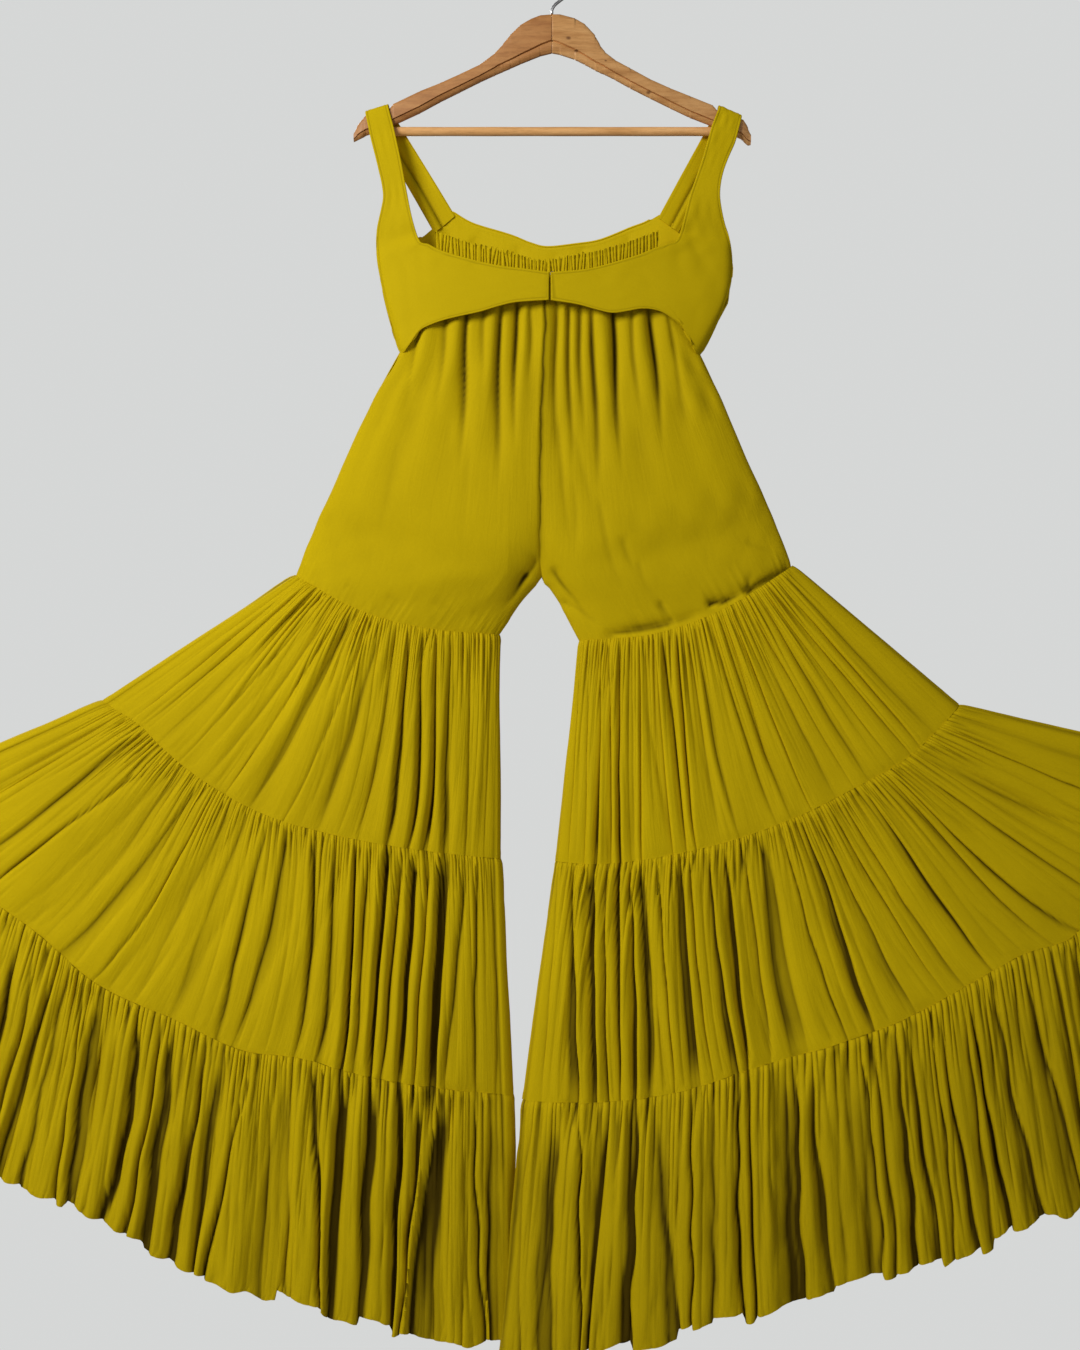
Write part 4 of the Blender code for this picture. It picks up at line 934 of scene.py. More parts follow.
def tier_folds(place, side, q, v, tall, span, seed):
    """Raises the seen folds between a tier's seams. Half of their height is left at the lower
    seam, and the next tier starts with that same half, so the two meet."""
    plan = TIER_PLANS[place]
    folds = fold_field(q, v, FOLDS[(place, side)], span, seed + 40, plan["keen"],
                       plan["wander"], plan["flat"])
    if place != "hem":
        folds = folds * (1 - 0.5 * ease((tall - 0.84) / 0.16))
    if place == "upper":
        return folds * ease(tall / 0.08)
    over = TIER_PLANS[plan["above"]]
    shared = fold_field(q[:1], np.ones(1), FOLDS[(plan["above"], side)], span[:1], seed,
                        over["keen"], over["wander"], over["flat"])
    loose = ease(tall / (0.22 if place == "hem" else 0.11))
    return folds * loose + 0.5 * shared * (1 - loose)


def tier_crumples(place, share, tall, seed):
    """Gives the cloth's sharp crumples and its soft drift; on the hem soft kinks join in."""
    crumpled = TIER_PLANS[place]["rough"] * (0.8 * crumple(share, tall, seed + 50, 130, 7)
                                             + 0.35 * crumple(share, tall, seed + 51, 300, 18))
    drift = 2.4 * (cloth_noise(share, tall, seed + 60, 46, 4) - 0.5)
    if place == "hem":
        swayed = share + 0.004 * np.sin(TAU * 2.3 * tall + 9 * share)
        kinks = 1 - np.abs(2 * cloth_noise(swayed, tall, seed + 61, 190, 4) - 1)
        drift = drift - 1.1 * kinks ** 4 + 2.2 * (cloth_noise(share, tall, seed + 62, 90, 3) - 0.5)
    return crumpled, drift


def hang_hem(grid, side, a, tall, q, near_side, edges, seed):
    """Lets each fold of the hem hang to its own length, and the far layer 9 mm longer."""
    rng = np.random.default_rng(seed + 70)
    cuts = np.sort(np.array(FOLDS[("hem", side)])[:, 2]) / 1000
    shorter, longer, far_longer = 8.0, 7.0, 9.0
    hang_by = rng.uniform(-shorter, longer, len(cuts) + 1)
    step = hang_by[np.searchsorted(cuts, q[-1])]
    step = np.convolve(np.pad(step, 1, mode="wrap"), np.ones(3) / 3, mode="valid")
    drop = ease((tall - 0.3) / 0.7)
    grid[:, :, 2] += drop * (step[None, :] * edges + 1.6 * ripples(a, seed + 5, 20, 60))
    grid[:, :, 2] -= np.where(near_side, 0.0, far_longer) * drop * edges


def tier(name, side, place, seed):
    """Drapes one gathered tier between two seams. Each column follows the cloth's grain: it leaves
    the upper seam at its own share and bends inward by FLOW. A point starts on the straight line
    between the seams and moves outward by the sum of: the folds between the seen valleys; the
    part's own waves, faint on the near layer; fine and medium gathers that hang from the upper
    seam; thin creases; and crumples. It also moves leftward by a third of its fold's height, so the
    folds' edges stand up. The far layer repeats the near one's folds in the mirror, moved a little.
    Painted shade darkens the dye in valleys of three sizes: the gathers', the creases' and the
    folds'; on the hem it also darkens towards the foot."""
    plan = TIER_PLANS[place]
    loops, outward = leg_loops(side)
    near = int(plan["columns"] * NEAR_SHARE)
    a = np.concatenate([np.linspace(0, 0.5, near, endpoint=False),
                        np.linspace(0.5, 1, plan["columns"] - near, endpoint=False)])
    v = np.concatenate([[0, 0.005, 0.012, 0.024], np.linspace(0.045, 0.955, 17),
                        [0.978, 0.988, 0.994, 1]])
    tall = v[:, None] + 0 * a[None, :]
    share = a[None, :] + 0 * tall
    near_side = share < 0.5
    label = np.where(near_side, share, 1 - share)
    bend = FLOW[(place, side)] * (1 - (1 - tall) ** 1.9)
    q = label.copy()
    for _ in range(4):
        q = np.clip(label - bend * np.sin(math.pi * np.clip(2 * q, 0, 1) ** 0.8) ** 1.1, 0, 0.5)
    w = np.where(near_side, q, 1 - q)
    t = uneven(w, side)
    part = tall[:, :, None]
    base = round_leg(loops[plan["above"]], t) * (1 - part) + round_leg(loops[place], t) * part
    out = unit(unit(round_leg(outward[plan["above"]], t)) * (1 - part)
               + unit(round_leg(outward[place], t)) * part)
    span = np.linalg.norm(np.diff(base, axis=1), axis=2).sum(axis=1)
    q2 = q + np.where(near_side, 0.0, 0.006)
    edges = ease(np.sin(math.pi * 2 * q) / 0.22)
    folds = 1.15 * tier_folds(place, side, q2, v, tall, span, seed) * (0.35 + 0.65 * edges)
    first = plan["start"] * pleat(w, plan["waves_above"])
    last = plan["end"] * pleat(w, plan["waves"])
    turn = ease(tall)
    waves = np.where(near_side, 0.1, 0.75) * wave_height(w, side) * (
        first * (1 - turn) + last * turn)
    small = plan["small"]
    hang = 0.4 + 0.6 * edges
    fine = gathers(share, v, seed, plan["fine"], small, plan["long"], sharp=0.6)
    medium = gathers(share, v, seed + 10, plan["medium"], small * 0.8, plan["long"] * 2.6)
    thin = crease_field(q2, v, CREASES[(place, side)], span) + stray_creases(
        q2, tall, span, seed + 80, plan["stray"], plan["pressed"])
    crumpled, drift = tier_crumples(place, share, tall, seed)
    inner = ease(tall / 0.05) * (1.0 if place == "hem" else ease((1 - tall) / 0.05))
    shape = 1.2 + folds + waves + (fine + medium) * hang
    lift = shape + (thin + crumpled + drift) * inner * hang - 0.9 * (1 - ease(tall / 0.02))
    if place != "hem":
        lift = lift + 0.7 * ease((tall - 0.965) / 0.02)
        lift = lift - 0.4 * np.exp(-((tall - 0.991) / 0.003) ** 2)
    rightward = unit(np.roll(base, -1, axis=1) - np.roll(base, 1, axis=1))
    rightward = rightward * np.sign(rightward[:, :, :1])
    lean = -0.35 * folds * (0.2 + 0.8 * edges)
    grid = base + out * lift[:, :, None] + rightward * lean[:, :, None]
    # Painted shade in the valleys of the gathers, the creases and the folds: shallow is the fold
    # depth at which it is full, and puckers is the gathers' share
    shallow = plan["dark"][side == "right"] * (1 + plan["fade"] * ease((q - 0.08) / 0.14))
    puckers = valley_share((fine + medium) * hang, True, 4, 0.8) * (1 - ease((tall - 0.02) / 0.3))
    valley = np.clip(0.3 * valley_share(shape, True, 7, 1.8) + 0.35 * puckers
                     + 0.3 * valley_share(lift, True, 6, 1.6)
                     + np.where(near_side, 1.0, 0.4) * ease(
                         valley_share(folds + waves, True, 30, shallow)), 0, 1)
    if place == "hem":
        # Painted shade: the hem darkens towards its foot, more on the right leg, where the light
        # falls off
        valley = np.clip(valley + HEM_FALLOFF_SHADE[side] * ease(tall / 0.4), 0, 1)
        hang_hem(grid, side, a, tall, q2, near_side, edges, seed)
        grid += out * (ease((tall - 0.972) / 0.012) * 0.4)[:, :, None]
    width = float(np.linalg.norm(np.diff(grid, axis=1), axis=2).sum(axis=1)[-4:].mean() * MM)
    length = float(np.linalg.norm(np.diff(grid, axis=0), axis=2).sum(axis=0).mean() * MM)
    finish = hem_crepe if place == "hem" else gathered_crepe
    made = shell(name + "_cloth", grid, True, finish, size=(width, length),
                 flip=(side == "left"), valley=valley)
    stand_for(made, name)


for number, side in enumerate(("left", "right")):
    for step, place in enumerate(("upper", "middle", "hem")):
        tier(f"tier_{place}_{side}", side, place, 100 + 40 * step + 7 * number)


# Yoke
# Creases as they are seen: from px, py to px, py, depth, and the reach on the left, or above,
# and on the right, or below (mm).
YOKE_CREASES = {
    "left": [
        (421, 306, 402, 420, 4.0, 5, 4), (446, 300, 436, 430, 4.0, 5, 4),
        (467, 298, 460, 470, 8.5, 4, 3.4), (484, 298, 481, 420, 3.5, 5, 4),
        (500, 296, 497, 490, 9.0, 4, 3.4), (516, 294, 514, 460, 9.0, 3.6, 3),
        (531, 294, 529, 400, 4.0, 4, 3),
        (430, 600, 470, 622, 0.8, 5, 4), (385, 596, 420, 612, 0.8, 5, 4),
        (470, 612, 500, 622, 0.8, 5, 4), (345, 585, 372, 596, 0.7, 5, 4),
        (530, 572, 498, 612, 3.4, 5, 4), (538, 556, 512, 596, 2.8, 5, 4),
        (540, 590, 516, 622, 2.4, 4, 4),
        (470, 420, 462, 560, 1.4, 14, 10), (400, 440, 372, 560, 1.2, 16, 12),
    ],
    "right": [
        (556, 294, 555, 470, 6.0, 3, 4), (568, 294, 572, 480, 8.5, 3.4, 4),
        (579, 296, 583, 440, 6.0, 3, 4), (592, 296, 598, 500, 8.5, 3.4, 4),
        (612, 298, 621, 480, 9.0, 3.4, 4), (630, 300, 640, 420, 5.0, 4, 4),
        (650, 302, 664, 460, 8.0, 3.6, 4), (668, 308, 688, 430, 4.5, 4, 5),
        (556, 420, 572, 565, 2.8, 6, 8), (572, 480, 580, 600, 1.6, 6, 8),
        (620, 536, 642, 592, 1.5, 3, 6), (636, 560, 655, 606, 1.1, 3, 5),
        (575, 430, 600, 560, 1.6, 8, 8), (596, 500, 622, 600, 1.6, 6, 7),
        (604, 637, 672, 622, 3.6, 5, 2.4), (674, 621, 604, 637, 5.0, 5, 2.4),
        (668, 622, 722, 609, 3.6, 4.5, 2.4), (706, 607, 744, 593, 5.0, 5, 2.4),
        (746, 592, 706, 607, 3.0, 5, 2.4), (744, 594, 796, 566, 5.0, 5, 2.4),
        (796, 566, 740, 597, 4.4, 5, 2.4), (742, 592, 756, 570, 2.6, 4, 3),
        (660, 601, 666, 620, 2.2, 3, 3.4),
        (745, 540, 785, 558, 0.8, 5, 5), (552, 566, 590, 622, 3.4, 5, 4),
        (546, 584, 566, 630, 2.6, 4, 4), (560, 600, 612, 628, 2.2, 4, 4),
    ],
}


def waistband_base(k):
    """Gives the elastic strip's y at k, from -1 at its left end to 1 at its right end."""
    return -WAISTBAND_Y + 6.0 * np.abs(k) ** 2.5


def waistband_foot(u, hand):
    """Gives the elastic strip's lower edge from the centre back (0) to one end (1)."""
    line = smooth_line(WAISTBAND_TOP, LINE_POINTS)
    end = line[-1 if hand > 0 else 0, 0]
    x = WAISTBAND_X + hand * 0.4 + (end - WAISTBAND_X - hand * 1.4) * u
    z = np.interp(x, line[:, 0], line[:, 1]) - WAISTBAND_HEIGHT
    return x, waistband_base(np.interp(x, line[:, 0], np.linspace(-1, 1, LINE_POINTS))), z


def measure(grid):
    """Gives a grid's mean width and length in metres."""
    width = np.linalg.norm(np.diff(grid, axis=1), axis=2).sum(axis=1).mean() * MM
    length = np.linalg.norm(np.diff(grid, axis=0), axis=2).sum(axis=0).mean() * MM
    return float(width), float(length)


def yoke(name, side, far, columns, seed):
    """Drapes one plain upper-leg panel. In each row, a point's share u of the way from the
    centre seam to the side seam gives x and z on a sagging line and y on a quarter ellipse
    plus the leg's own arch; creases and soft drifts move it along the surface's normal. The
    near panel starts at the elastic strip, the far one at the waist, and both end on the knee
    seam. Above the knee seam the near panel swells by up to 8.5 mm. The far one repeats the
    near one's last nine creases, less deep. At the sides the panels lap, with the far one
    inside; at the centre back the right panel lies over the left one, down to where the legs
    part."""
    table = np.array(YOKE[side], float)
    if far:
        table = table[2:].copy()
        table[0, 1] = FRONT_WAIST_Z
        table[:, 5] *= 0.9
    between = 12
    fine = smooth_table(table, between)
    coarse_to = len(fine) if far else 66
    kept = np.concatenate([np.arange(0, coarse_to, 2), np.arange(coarse_to, len(fine))])
    fine = fine[kept]
    place = kept[:, None] / between
    down = kept / kept[-1]
    sign = 1.0 if far else -1.0
    hand = -1.0 if side == "left" else 1.0
    k = np.linspace(0, 1, columns + 1)
    u = 0.5 * k + 0.25 * (1 - np.cos(math.pi * k))
    cx, cz, sx, sz, sag, centre, edge, leg = (fine[:, i:i + 1] for i in range(8))
    centre, leg = np.maximum(centre, 0.0), np.maximum(leg, 0.0)
    arc = np.sqrt(np.clip(1 - u * u, 0, 1))
    arch = np.sqrt(np.clip(4 * u * (1 - u), 0, 1))
    x = cx + (sx - cx) * u
    z = cz + (sz - cz) * u - sag * u * (1 - u)
    y = sign * (edge + (centre - edge) * arc + leg * arch)
    if not far:
        foot_x, foot_y, foot_z = waistband_foot(u, hand)
        near_top = 1 - ease(place)
        x = x + near_top * (foot_x - x[0])
        y = y + near_top * (foot_y - y[0])
        z = z + near_top * (foot_z - z[0])
    knee_at, knee_z = on_line(smooth_line(LEG_SEAMS[side]["knee"], LINE_POINTS), u)
    tuck, lap, inset = 0.8, 0.25, 1.2
    near_knee = ease(place - (len(table) - 2.0))
    above_knee = 1 - near_knee[:, 0]
    x = x + near_knee * (knee_at - x[-1])
    z = z + near_knee * (knee_z - tuck - z[-1])
    grid = np.stack([x, y, z], axis=2)
    out = normals_of(grid, False)
    if out[3, columns // 2, 1] * sign < 0:
        out = -out
    loops, outward = leg_loops(side)
    middle = LOOP_POINTS // 2
    half = slice(middle, LOOP_POINTS) if far else slice(0, middle + 1)
    order = np.argsort(loops["knee"][half, 0])
    knee_x = loops["knee"][half, 0][order]
    knee_out = outward["knee"][half][order]
    at_knee = np.stack([np.interp(grid[-1, :, 0], knee_x, knee_out[:, i]) for i in range(3)], 1)
    out = unit(out * (1 - near_knee[:, :, None]) + at_knee[None] * near_knee[:, :, None])
    out[:, 0, 0] = np.where(z[:, 0] < CROTCH_Z, out[:, 0, 0], 0.0)
    out[:, -1, 1] *= near_knee[:, 0]
    out = unit(out)
    relief = np.zeros_like(x)
    if not far:
        window = np.clip(5 * np.minimum(k, 1 - k), 0, 1)
        drop = np.clip((z + 620) / 180, 0, 1)
        relief = relief + 1.8 * np.cos(TAU * 5 * k) * window * drop
        creases = troughs(x, z, seen(YOKE_CREASES[side], -20.0))
        # Painted shade in the creases deeper than 2.4 mm on the lower yoke
        pressed = 0.6 * ease((-creases - 2.4) / 2.8) * ease((-560.0 - z) / 30.0)
        relief = relief + creases
        full = np.clip(u / 0.16, 0, 1) * np.clip((1 - u) / 0.6, 0, 1)
        swell, swell_z, swell_reach = 8.5, -680, 36
        relief = relief + swell * full * np.exp(-((z - swell_z) / swell_reach) ** 2)
    else:
        pressed = 0.0
        relief = relief + 1.2 * np.cos(TAU * 4 * k) * np.clip((z + 560) / 120, 0, 1)
        repeated = [(*line, depth * 0.7, left, right) for *line, depth, left, right in
                    seen(YOKE_CREASES[side][-9:], 20.0)]
        relief = relief + troughs(x, z, repeated)
    relief = relief + 0.3 * ripples(k, seed, 2, 7)[None, :] * ripples(
        down, seed + 1, 2, 9)[:, None]
    relief = relief + gathers(k[None, :] + 0 * place, 1 - down, seed + 2, 60, 0.7, 0.05, spread=0.6)
    grid = grid + out * (CLOTH + relief)[:, :, None]
    grid[:, -1, 1] -= lap * sign * above_knee
    if far:
        grid[:, -1, 0] -= inset * hand * above_knee
    from_centre = u * np.abs(sx - cx)
    closed = np.clip((z - CROTCH_Z) / 20, 0, 1)
    if not far:
        seam = np.exp(-(from_centre / 2.4) ** 2)
        wavy = 0.7 * np.sin(z * 0.09) + 0.5 * np.sin(z * 0.23 + 1.0)
        aside, inward = (2.2, 4.2) if side == "left" else (-1.0, -0.6)
        grid[:, :, 0] += seam * (wavy + aside * closed)
        grid[:, :, 1] += seam * inward * closed
        relief = relief - inward * seam * closed
    width, length = measure(grid)
    flip = (sign < 0) != (hand < 0)
    # Painted shade: darkens the dye in the relief's hollows, along the centre-back seam down to
    # where the legs part, and in the deep lower creases
    seam_shade = np.exp(-(from_centre / 1.7) ** 2) * closed
    valley = np.clip(valley_share(relief, False, 6, 4.0) + 0.9 * seam_shade + pressed, 0, 1)
    made = shell(name + "_cloth", grid, False, crepe, size=(width, length), flip=flip,
                 valley=valley)
    stand_for(made, name)


for number, side in enumerate(("left", "right")):
    yoke(f"yoke_back_{side}", side, False, 144, 400 + number)
    yoke(f"yoke_front_{side}", side, True, 90, 420 + number)


# Bodice
def side_x(z, right):
    """Gives the bodice's side line at height z."""
    lines = np.array(SIDE_LINES)
    return np.interp(z, lines[:, 0], lines[:, 2 if right else 1])


def band_depth(x, z, depth, edge):
    """Gives how far the bodice stands from its side seams' plane at x, z."""
    limit = np.where(x > BODICE_X, side_x(z, True), side_x(z, False))
    share = np.clip((x - BODICE_X) / (limit - BODICE_X), 0, 1)
    return edge + (depth - edge) * np.sqrt(np.clip(1 - share ** 2, 0, 1))


def band_edge(z):
    """Gives the side seam's own y: the legs' back lies under the band at the waist."""
    return 2.2 * np.clip((-345.0 - z) / 90.0, 0, 1)


def arm_mid(x):
    """Gives the y of the hanger arms' middle: they sweep back towards the tips."""
    return ARM_SWEEP * (np.abs(x) / ARM_REACH) ** 1.25


def turned_edge(d):
    """Shapes a faced edge at distance d from it: it rounds over within 1.1 mm, and a row of
    stitches draws the cloth in 2.8 mm from the edge."""
    over = np.clip(1 - d / 1.1, 0, 1)
    return -0.8 * (1 - np.sqrt(np.clip(1 - over ** 2, 0, 1))) - 0.42 * np.exp(
        -((d - 2.8) / 0.55) ** 2)


def shoulder_rows(side, back, k):
    """Lays the strap over the arm's top: rows of points at shares k of the strap's width."""
    ox, oz, ix, iz = SHOULDER[side]
    sign = -1.0 if back else 1.0
    x = ox + (ix - ox) * k
    z = oz + (iz - oz) * k
    return [np.stack([x, arm_mid(x) + sign * away, z + drop], axis=1)
            for drop, away in ((0.0, 0.0), (0.0, 5.0), (-2.8, 7.3))]


# Dimples of the band as they are seen, in the same terms as the yoke's creases.
BAND_DIMPLES = {
    "left": [(392, 250, 430, 300, 1.0, 14, 12), (395, 330, 440, 300, 0.8, 10, 10),
             (470, 262, 500, 292, 0.6, 9, 9), (380, 180, 398, 240, 0.5, 8, 8)],
    "right": [(690, 238, 716, 290, 1.6, 9, 10), (706, 250, 722, 300, 0.9, 7, 8),
              (676, 250, 690, 300, 0.8, 9, 9), (640, 262, 662, 320, 0.6, 12, 12),
              (590, 266, 620, 300, 0.5, 9, 9), (700, 300, 690, 342, 0.9, 8, 8)],
}
# Where rows are added before the centre back's edge: shares of the step to the last row
END_ROWS = np.array([0.6, 0.38, 0.2, 0.08, 0.0])


def read_rows(grid, at):
    """Reads a grid's rows at places in between them."""
    low = np.minimum(np.floor(at).astype(int), len(grid) - 2)
    part = (at - low)[:, None, None]
    return grid[low] * (1 - part) + grid[low + 1] * part


def back_bodice(name, side, seed):
    """Cuts one back panel, strap and band in one, from the arm's top to the centre back: straight
    lines run between its outer and inner edges, y follows the strap's own table and then the band's
    half ellipse. The edges are turned and stitched, the side edge wraps round to the front, and
    painted shade darkens the end at the closure's gap and the stitch lines along the edges."""
    columns = 46
    k = cosine_steps(columns)
    table = smooth_table(BACK[side], 2)
    x = table[:, 0:1] * (1 - k) + table[:, 2:3] * k
    z = table[:, 1:2] * (1 - k) + table[:, 3:4] * k
    strap = table[:, 4:5] * (1 - k) + table[:, 5:6] * k
    share = np.clip(table[:, 6:7], 0, 1)
    y = strap * (1 - share) - band_depth(x, z, BAND_DEPTH, band_edge(z)) * share
    grid = np.stack([x, y, z], axis=2)
    over = np.array(shoulder_rows(side, True, k))
    step = over[2] * 0.55 + grid[0] * 0.45
    step[:, 1] = np.minimum(step[:, 1], arm_mid(step[:, 0]) - 7.6)
    coarse = np.concatenate([over, step[None], grid])
    grid = smooth_table(coarse.reshape(len(coarse), -1), 4).reshape(-1, columns + 1, 3)
    whole = len(grid) - 1.0
    grid = read_rows(grid, np.concatenate([np.arange(whole), whole - END_ROWS]))
    out = normals_of(grid, False)
    if out[-20, columns // 2, 1] > 0:
        out = -out
    out[0] = np.array([0.0, 0.0, 1.0])
    out[-1, :, 0] = 0
    out = unit(out)
    across = np.linalg.norm(grid[:, -1] - grid[:, 0], axis=1)[:, None]
    run = np.linalg.norm(np.diff(grid[::-1, columns // 2], axis=0), axis=1)
    from_end = np.concatenate([[0], np.cumsum(run)])[::-1][:, None]
    relief = turned_edge(k[None, :] * across) + turned_edge((1 - k)[None, :] * across)
    relief = relief + turned_edge(from_end) - 0.8 * (1 - ease(from_end / 1.4))
    relief = relief + troughs(grid[:, :, 0], grid[:, :, 2], seen(BAND_DIMPLES[side], -20.0))
    relief = relief + 0.22 * ripples(np.linspace(0, 1, len(grid)), seed, 3, 12)[:, None] * (
        ripples(k, seed + 1, 1, 3)[None, :])
    side_line = side_x(grid[:, :, 2], side == "right")
    at_side = np.exp(-((grid[:, :, 0] - side_line) / 4.0) ** 2) * ease(
        (-312.0 - grid[:, :, 2]) / 10.0)
    grid = grid + out * (BAND + relief)[:, :, None]
    grid[:, :, 1] += at_side * (band_edge(grid[:, :, 2]) + 1.2)
    width, length = measure(grid)
    # Painted shade in the closure's gap at the band's end and along the stitch lines 2.8 mm in from
    # the edges
    near_edge = np.minimum(np.minimum(k[None, :] * across, (1 - k)[None, :] * across), from_end)
    dark = 0.95 * (1 - ease(from_end)) + 0.3 * np.exp(-((near_edge - 2.8) / 0.6) ** 2)
    made = shell(name + "_cloth", grid, False, bodice_crepe, wall=BAND, size=(width, length),
                 flip=(side == "left"), valley=np.clip(dark, 0, 1))
    stand_for(made, name)


def front_strap(name, side, seed):
    """Cuts one front strap, from the arm's top down its far side to the bodice. Seen from the back
    it has a lengthwise fold a sixth to a fifth of its width from its outer edge, and a groove 5 mm
    beside the fold, darkened with painted shade."""
    ox, oz, ix, iz = SHOULDER[side]
    fx, fz, gx, gz = STRAP_FOOT[side]
    columns = 26
    k = cosine_steps(columns)
    lines = shoulder_rows(side, False, k)
    foot_out = float(band_depth(np.array(fx), np.array(fz), FRONT_DEPTH, band_edge(fz)))
    foot_in = float(band_depth(np.array(gx), np.array(gz), FRONT_DEPTH, band_edge(gz)))
    for share in (0.1, 0.25, 0.5, 0.75, 1.0):
        part = share if share < 1 else 1.035
        ax, az = ox + (fx - ox) * part, oz + (fz - oz) * part
        bx, bz = ix + (gx - ix) * part, iz + (gz - iz) * part
        x = ax + (bx - ax) * k
        z = az + (bz - az) * k
        down = np.clip((share - 0.25) / 0.75, 0, 1)
        y = (arm_mid(x) + 7.9) * (1 - down) + (foot_out + (foot_in - foot_out) * k) * down
        y = y + 0.7 * down ** 6
        lines.append(np.stack([x, y, z], axis=1))
    coarse = np.array(lines)
    grid = smooth_table(coarse.reshape(len(coarse), -1), 9).reshape(-1, columns + 1, 3)
    out = normals_of(grid, False)
    if out[-20, columns // 2, 1] < 0:
        out = -out
    out[0] = np.array([0.0, 0.0, 1.0])
    across = np.linalg.norm(grid[:, -1] - grid[:, 0], axis=1)[:, None]
    relief = turned_edge(k[None, :] * across) + turned_edge((1 - k)[None, :] * across)
    v = np.linspace(0, 1, len(grid))[:, None]
    fold = 0.16 + 0.05 * v + 0.02 * np.sin(v * 9)
    fold_depth, groove_depth, apart = 1.6, 1.7, 5.0
    bend = ease((v - 0.2) / 0.2)
    beside = (k[None, :] - fold) * across
    groove = bend * np.exp(-((beside - apart) / 2.2) ** 2)
    relief = relief - fold_depth * bend * np.exp(-(beside / 2.6) ** 2) + groove_depth * groove
    relief = relief + 0.3 * ripples(v, seed, 2, 8)
    grid = grid + out * (BAND + relief)[:, :, None]
    width, length = measure(grid)
    # Painted shade in the groove beside the fold
    made = shell(name + "_cloth", grid, False, bodice_crepe, wall=BAND, size=(width, length),
                 flip=(side == "right"), valley=0.6 * groove)
    stand_for(made, name)


# Folds of the front below its neckline as they are seen, in the same terms.
FRONT_FOLDS = [(470, 240, 500, 262, 1.6, 6, 8), (520, 246, 512, 266, 1.2, 5, 6),
               (585, 246, 575, 268, 1.4, 6, 6), (632, 236, 610, 262, 1.6, 7, 6),
               (440, 222, 462, 246, 1.2, 5, 6), (556, 252, 552, 270, 1.0, 5, 5)]


def front_bodice(name, seed):
    """Cuts the front bodice from its neckline and armholes to the waist seam: shares across
    keep to the side lines, y is a half ellipse that flattens a little towards the waist. Its
    upper edge is turned except where the straps join, and its side edges go in under the
    back's."""
    columns, rows = 190, 46
    top = np.vstack([smooth_line(FRONT_TOP[0:4], 60), smooth_line(FRONT_TOP[4:15], 200),
                     smooth_line(FRONT_TOP[15:18], 60)])
    share = (top[:, 0] - top[0, 0]) / (top[-1, 0] - top[0, 0])
    k = np.linspace(0, 1, columns + 1)
    even = 0.6 * k + 0.2 * (1 - np.cos(math.pi * k))
    top_x = np.interp(even, share, top[:, 0])
    top_z = np.interp(even, share, top[:, 1])
    waist = smooth_line(FRONT_WAIST, 100)
    waist_z = np.interp(even, np.linspace(0, 1, 100), waist[:, 1])
    limit = np.where(top_x < BODICE_X, side_x(top_z, False), side_x(top_z, True))
    across = np.clip((top_x - BODICE_X) / (limit - BODICE_X), 0, 1)
    across[0] = across[-1] = 1.0
    v = cosine_steps(rows - 1)[:, None]
    z = top_z * (1 - v) + waist_z * v
    limit = np.where(top_x < BODICE_X, side_x(z, False), side_x(z, True))
    x = BODICE_X + across * (limit - BODICE_X)
    y = (FRONT_DEPTH - 2.0 * v) * np.sqrt(np.clip(1 - across ** 2, 0, 1))
    grid = np.stack([x, y, z], axis=2)
    out = normals_of(grid, False)
    if out[5, columns // 2, 1] < 0:
        out = -out
    straps_x, to_strap, half_strap = -5.5, 128.7, 12.5
    joined = np.abs(np.abs(top_x - straps_x) - to_strap) < half_strap
    relief = np.where(joined, 0.0, turned_edge(top_z - z)) - troughs(
        x, z, seen(FRONT_FOLDS, 18.0))
    relief = relief + 0.35 * ripples(k, seed, 2, 8)[None, :] * (1 - v)
    tucked = 1 - 1.6 * ease((np.abs(across) - 0.86) / 0.14)[None, :]
    grid = grid + out * ((BAND + relief) * tucked)[:, :, None]
    width, length = measure(grid)
    made = shell(name + "_cloth", grid, False, painted_lit_crepe, wall=BAND, size=(width, length),
                 flip=True)
    stand_for(made, name)


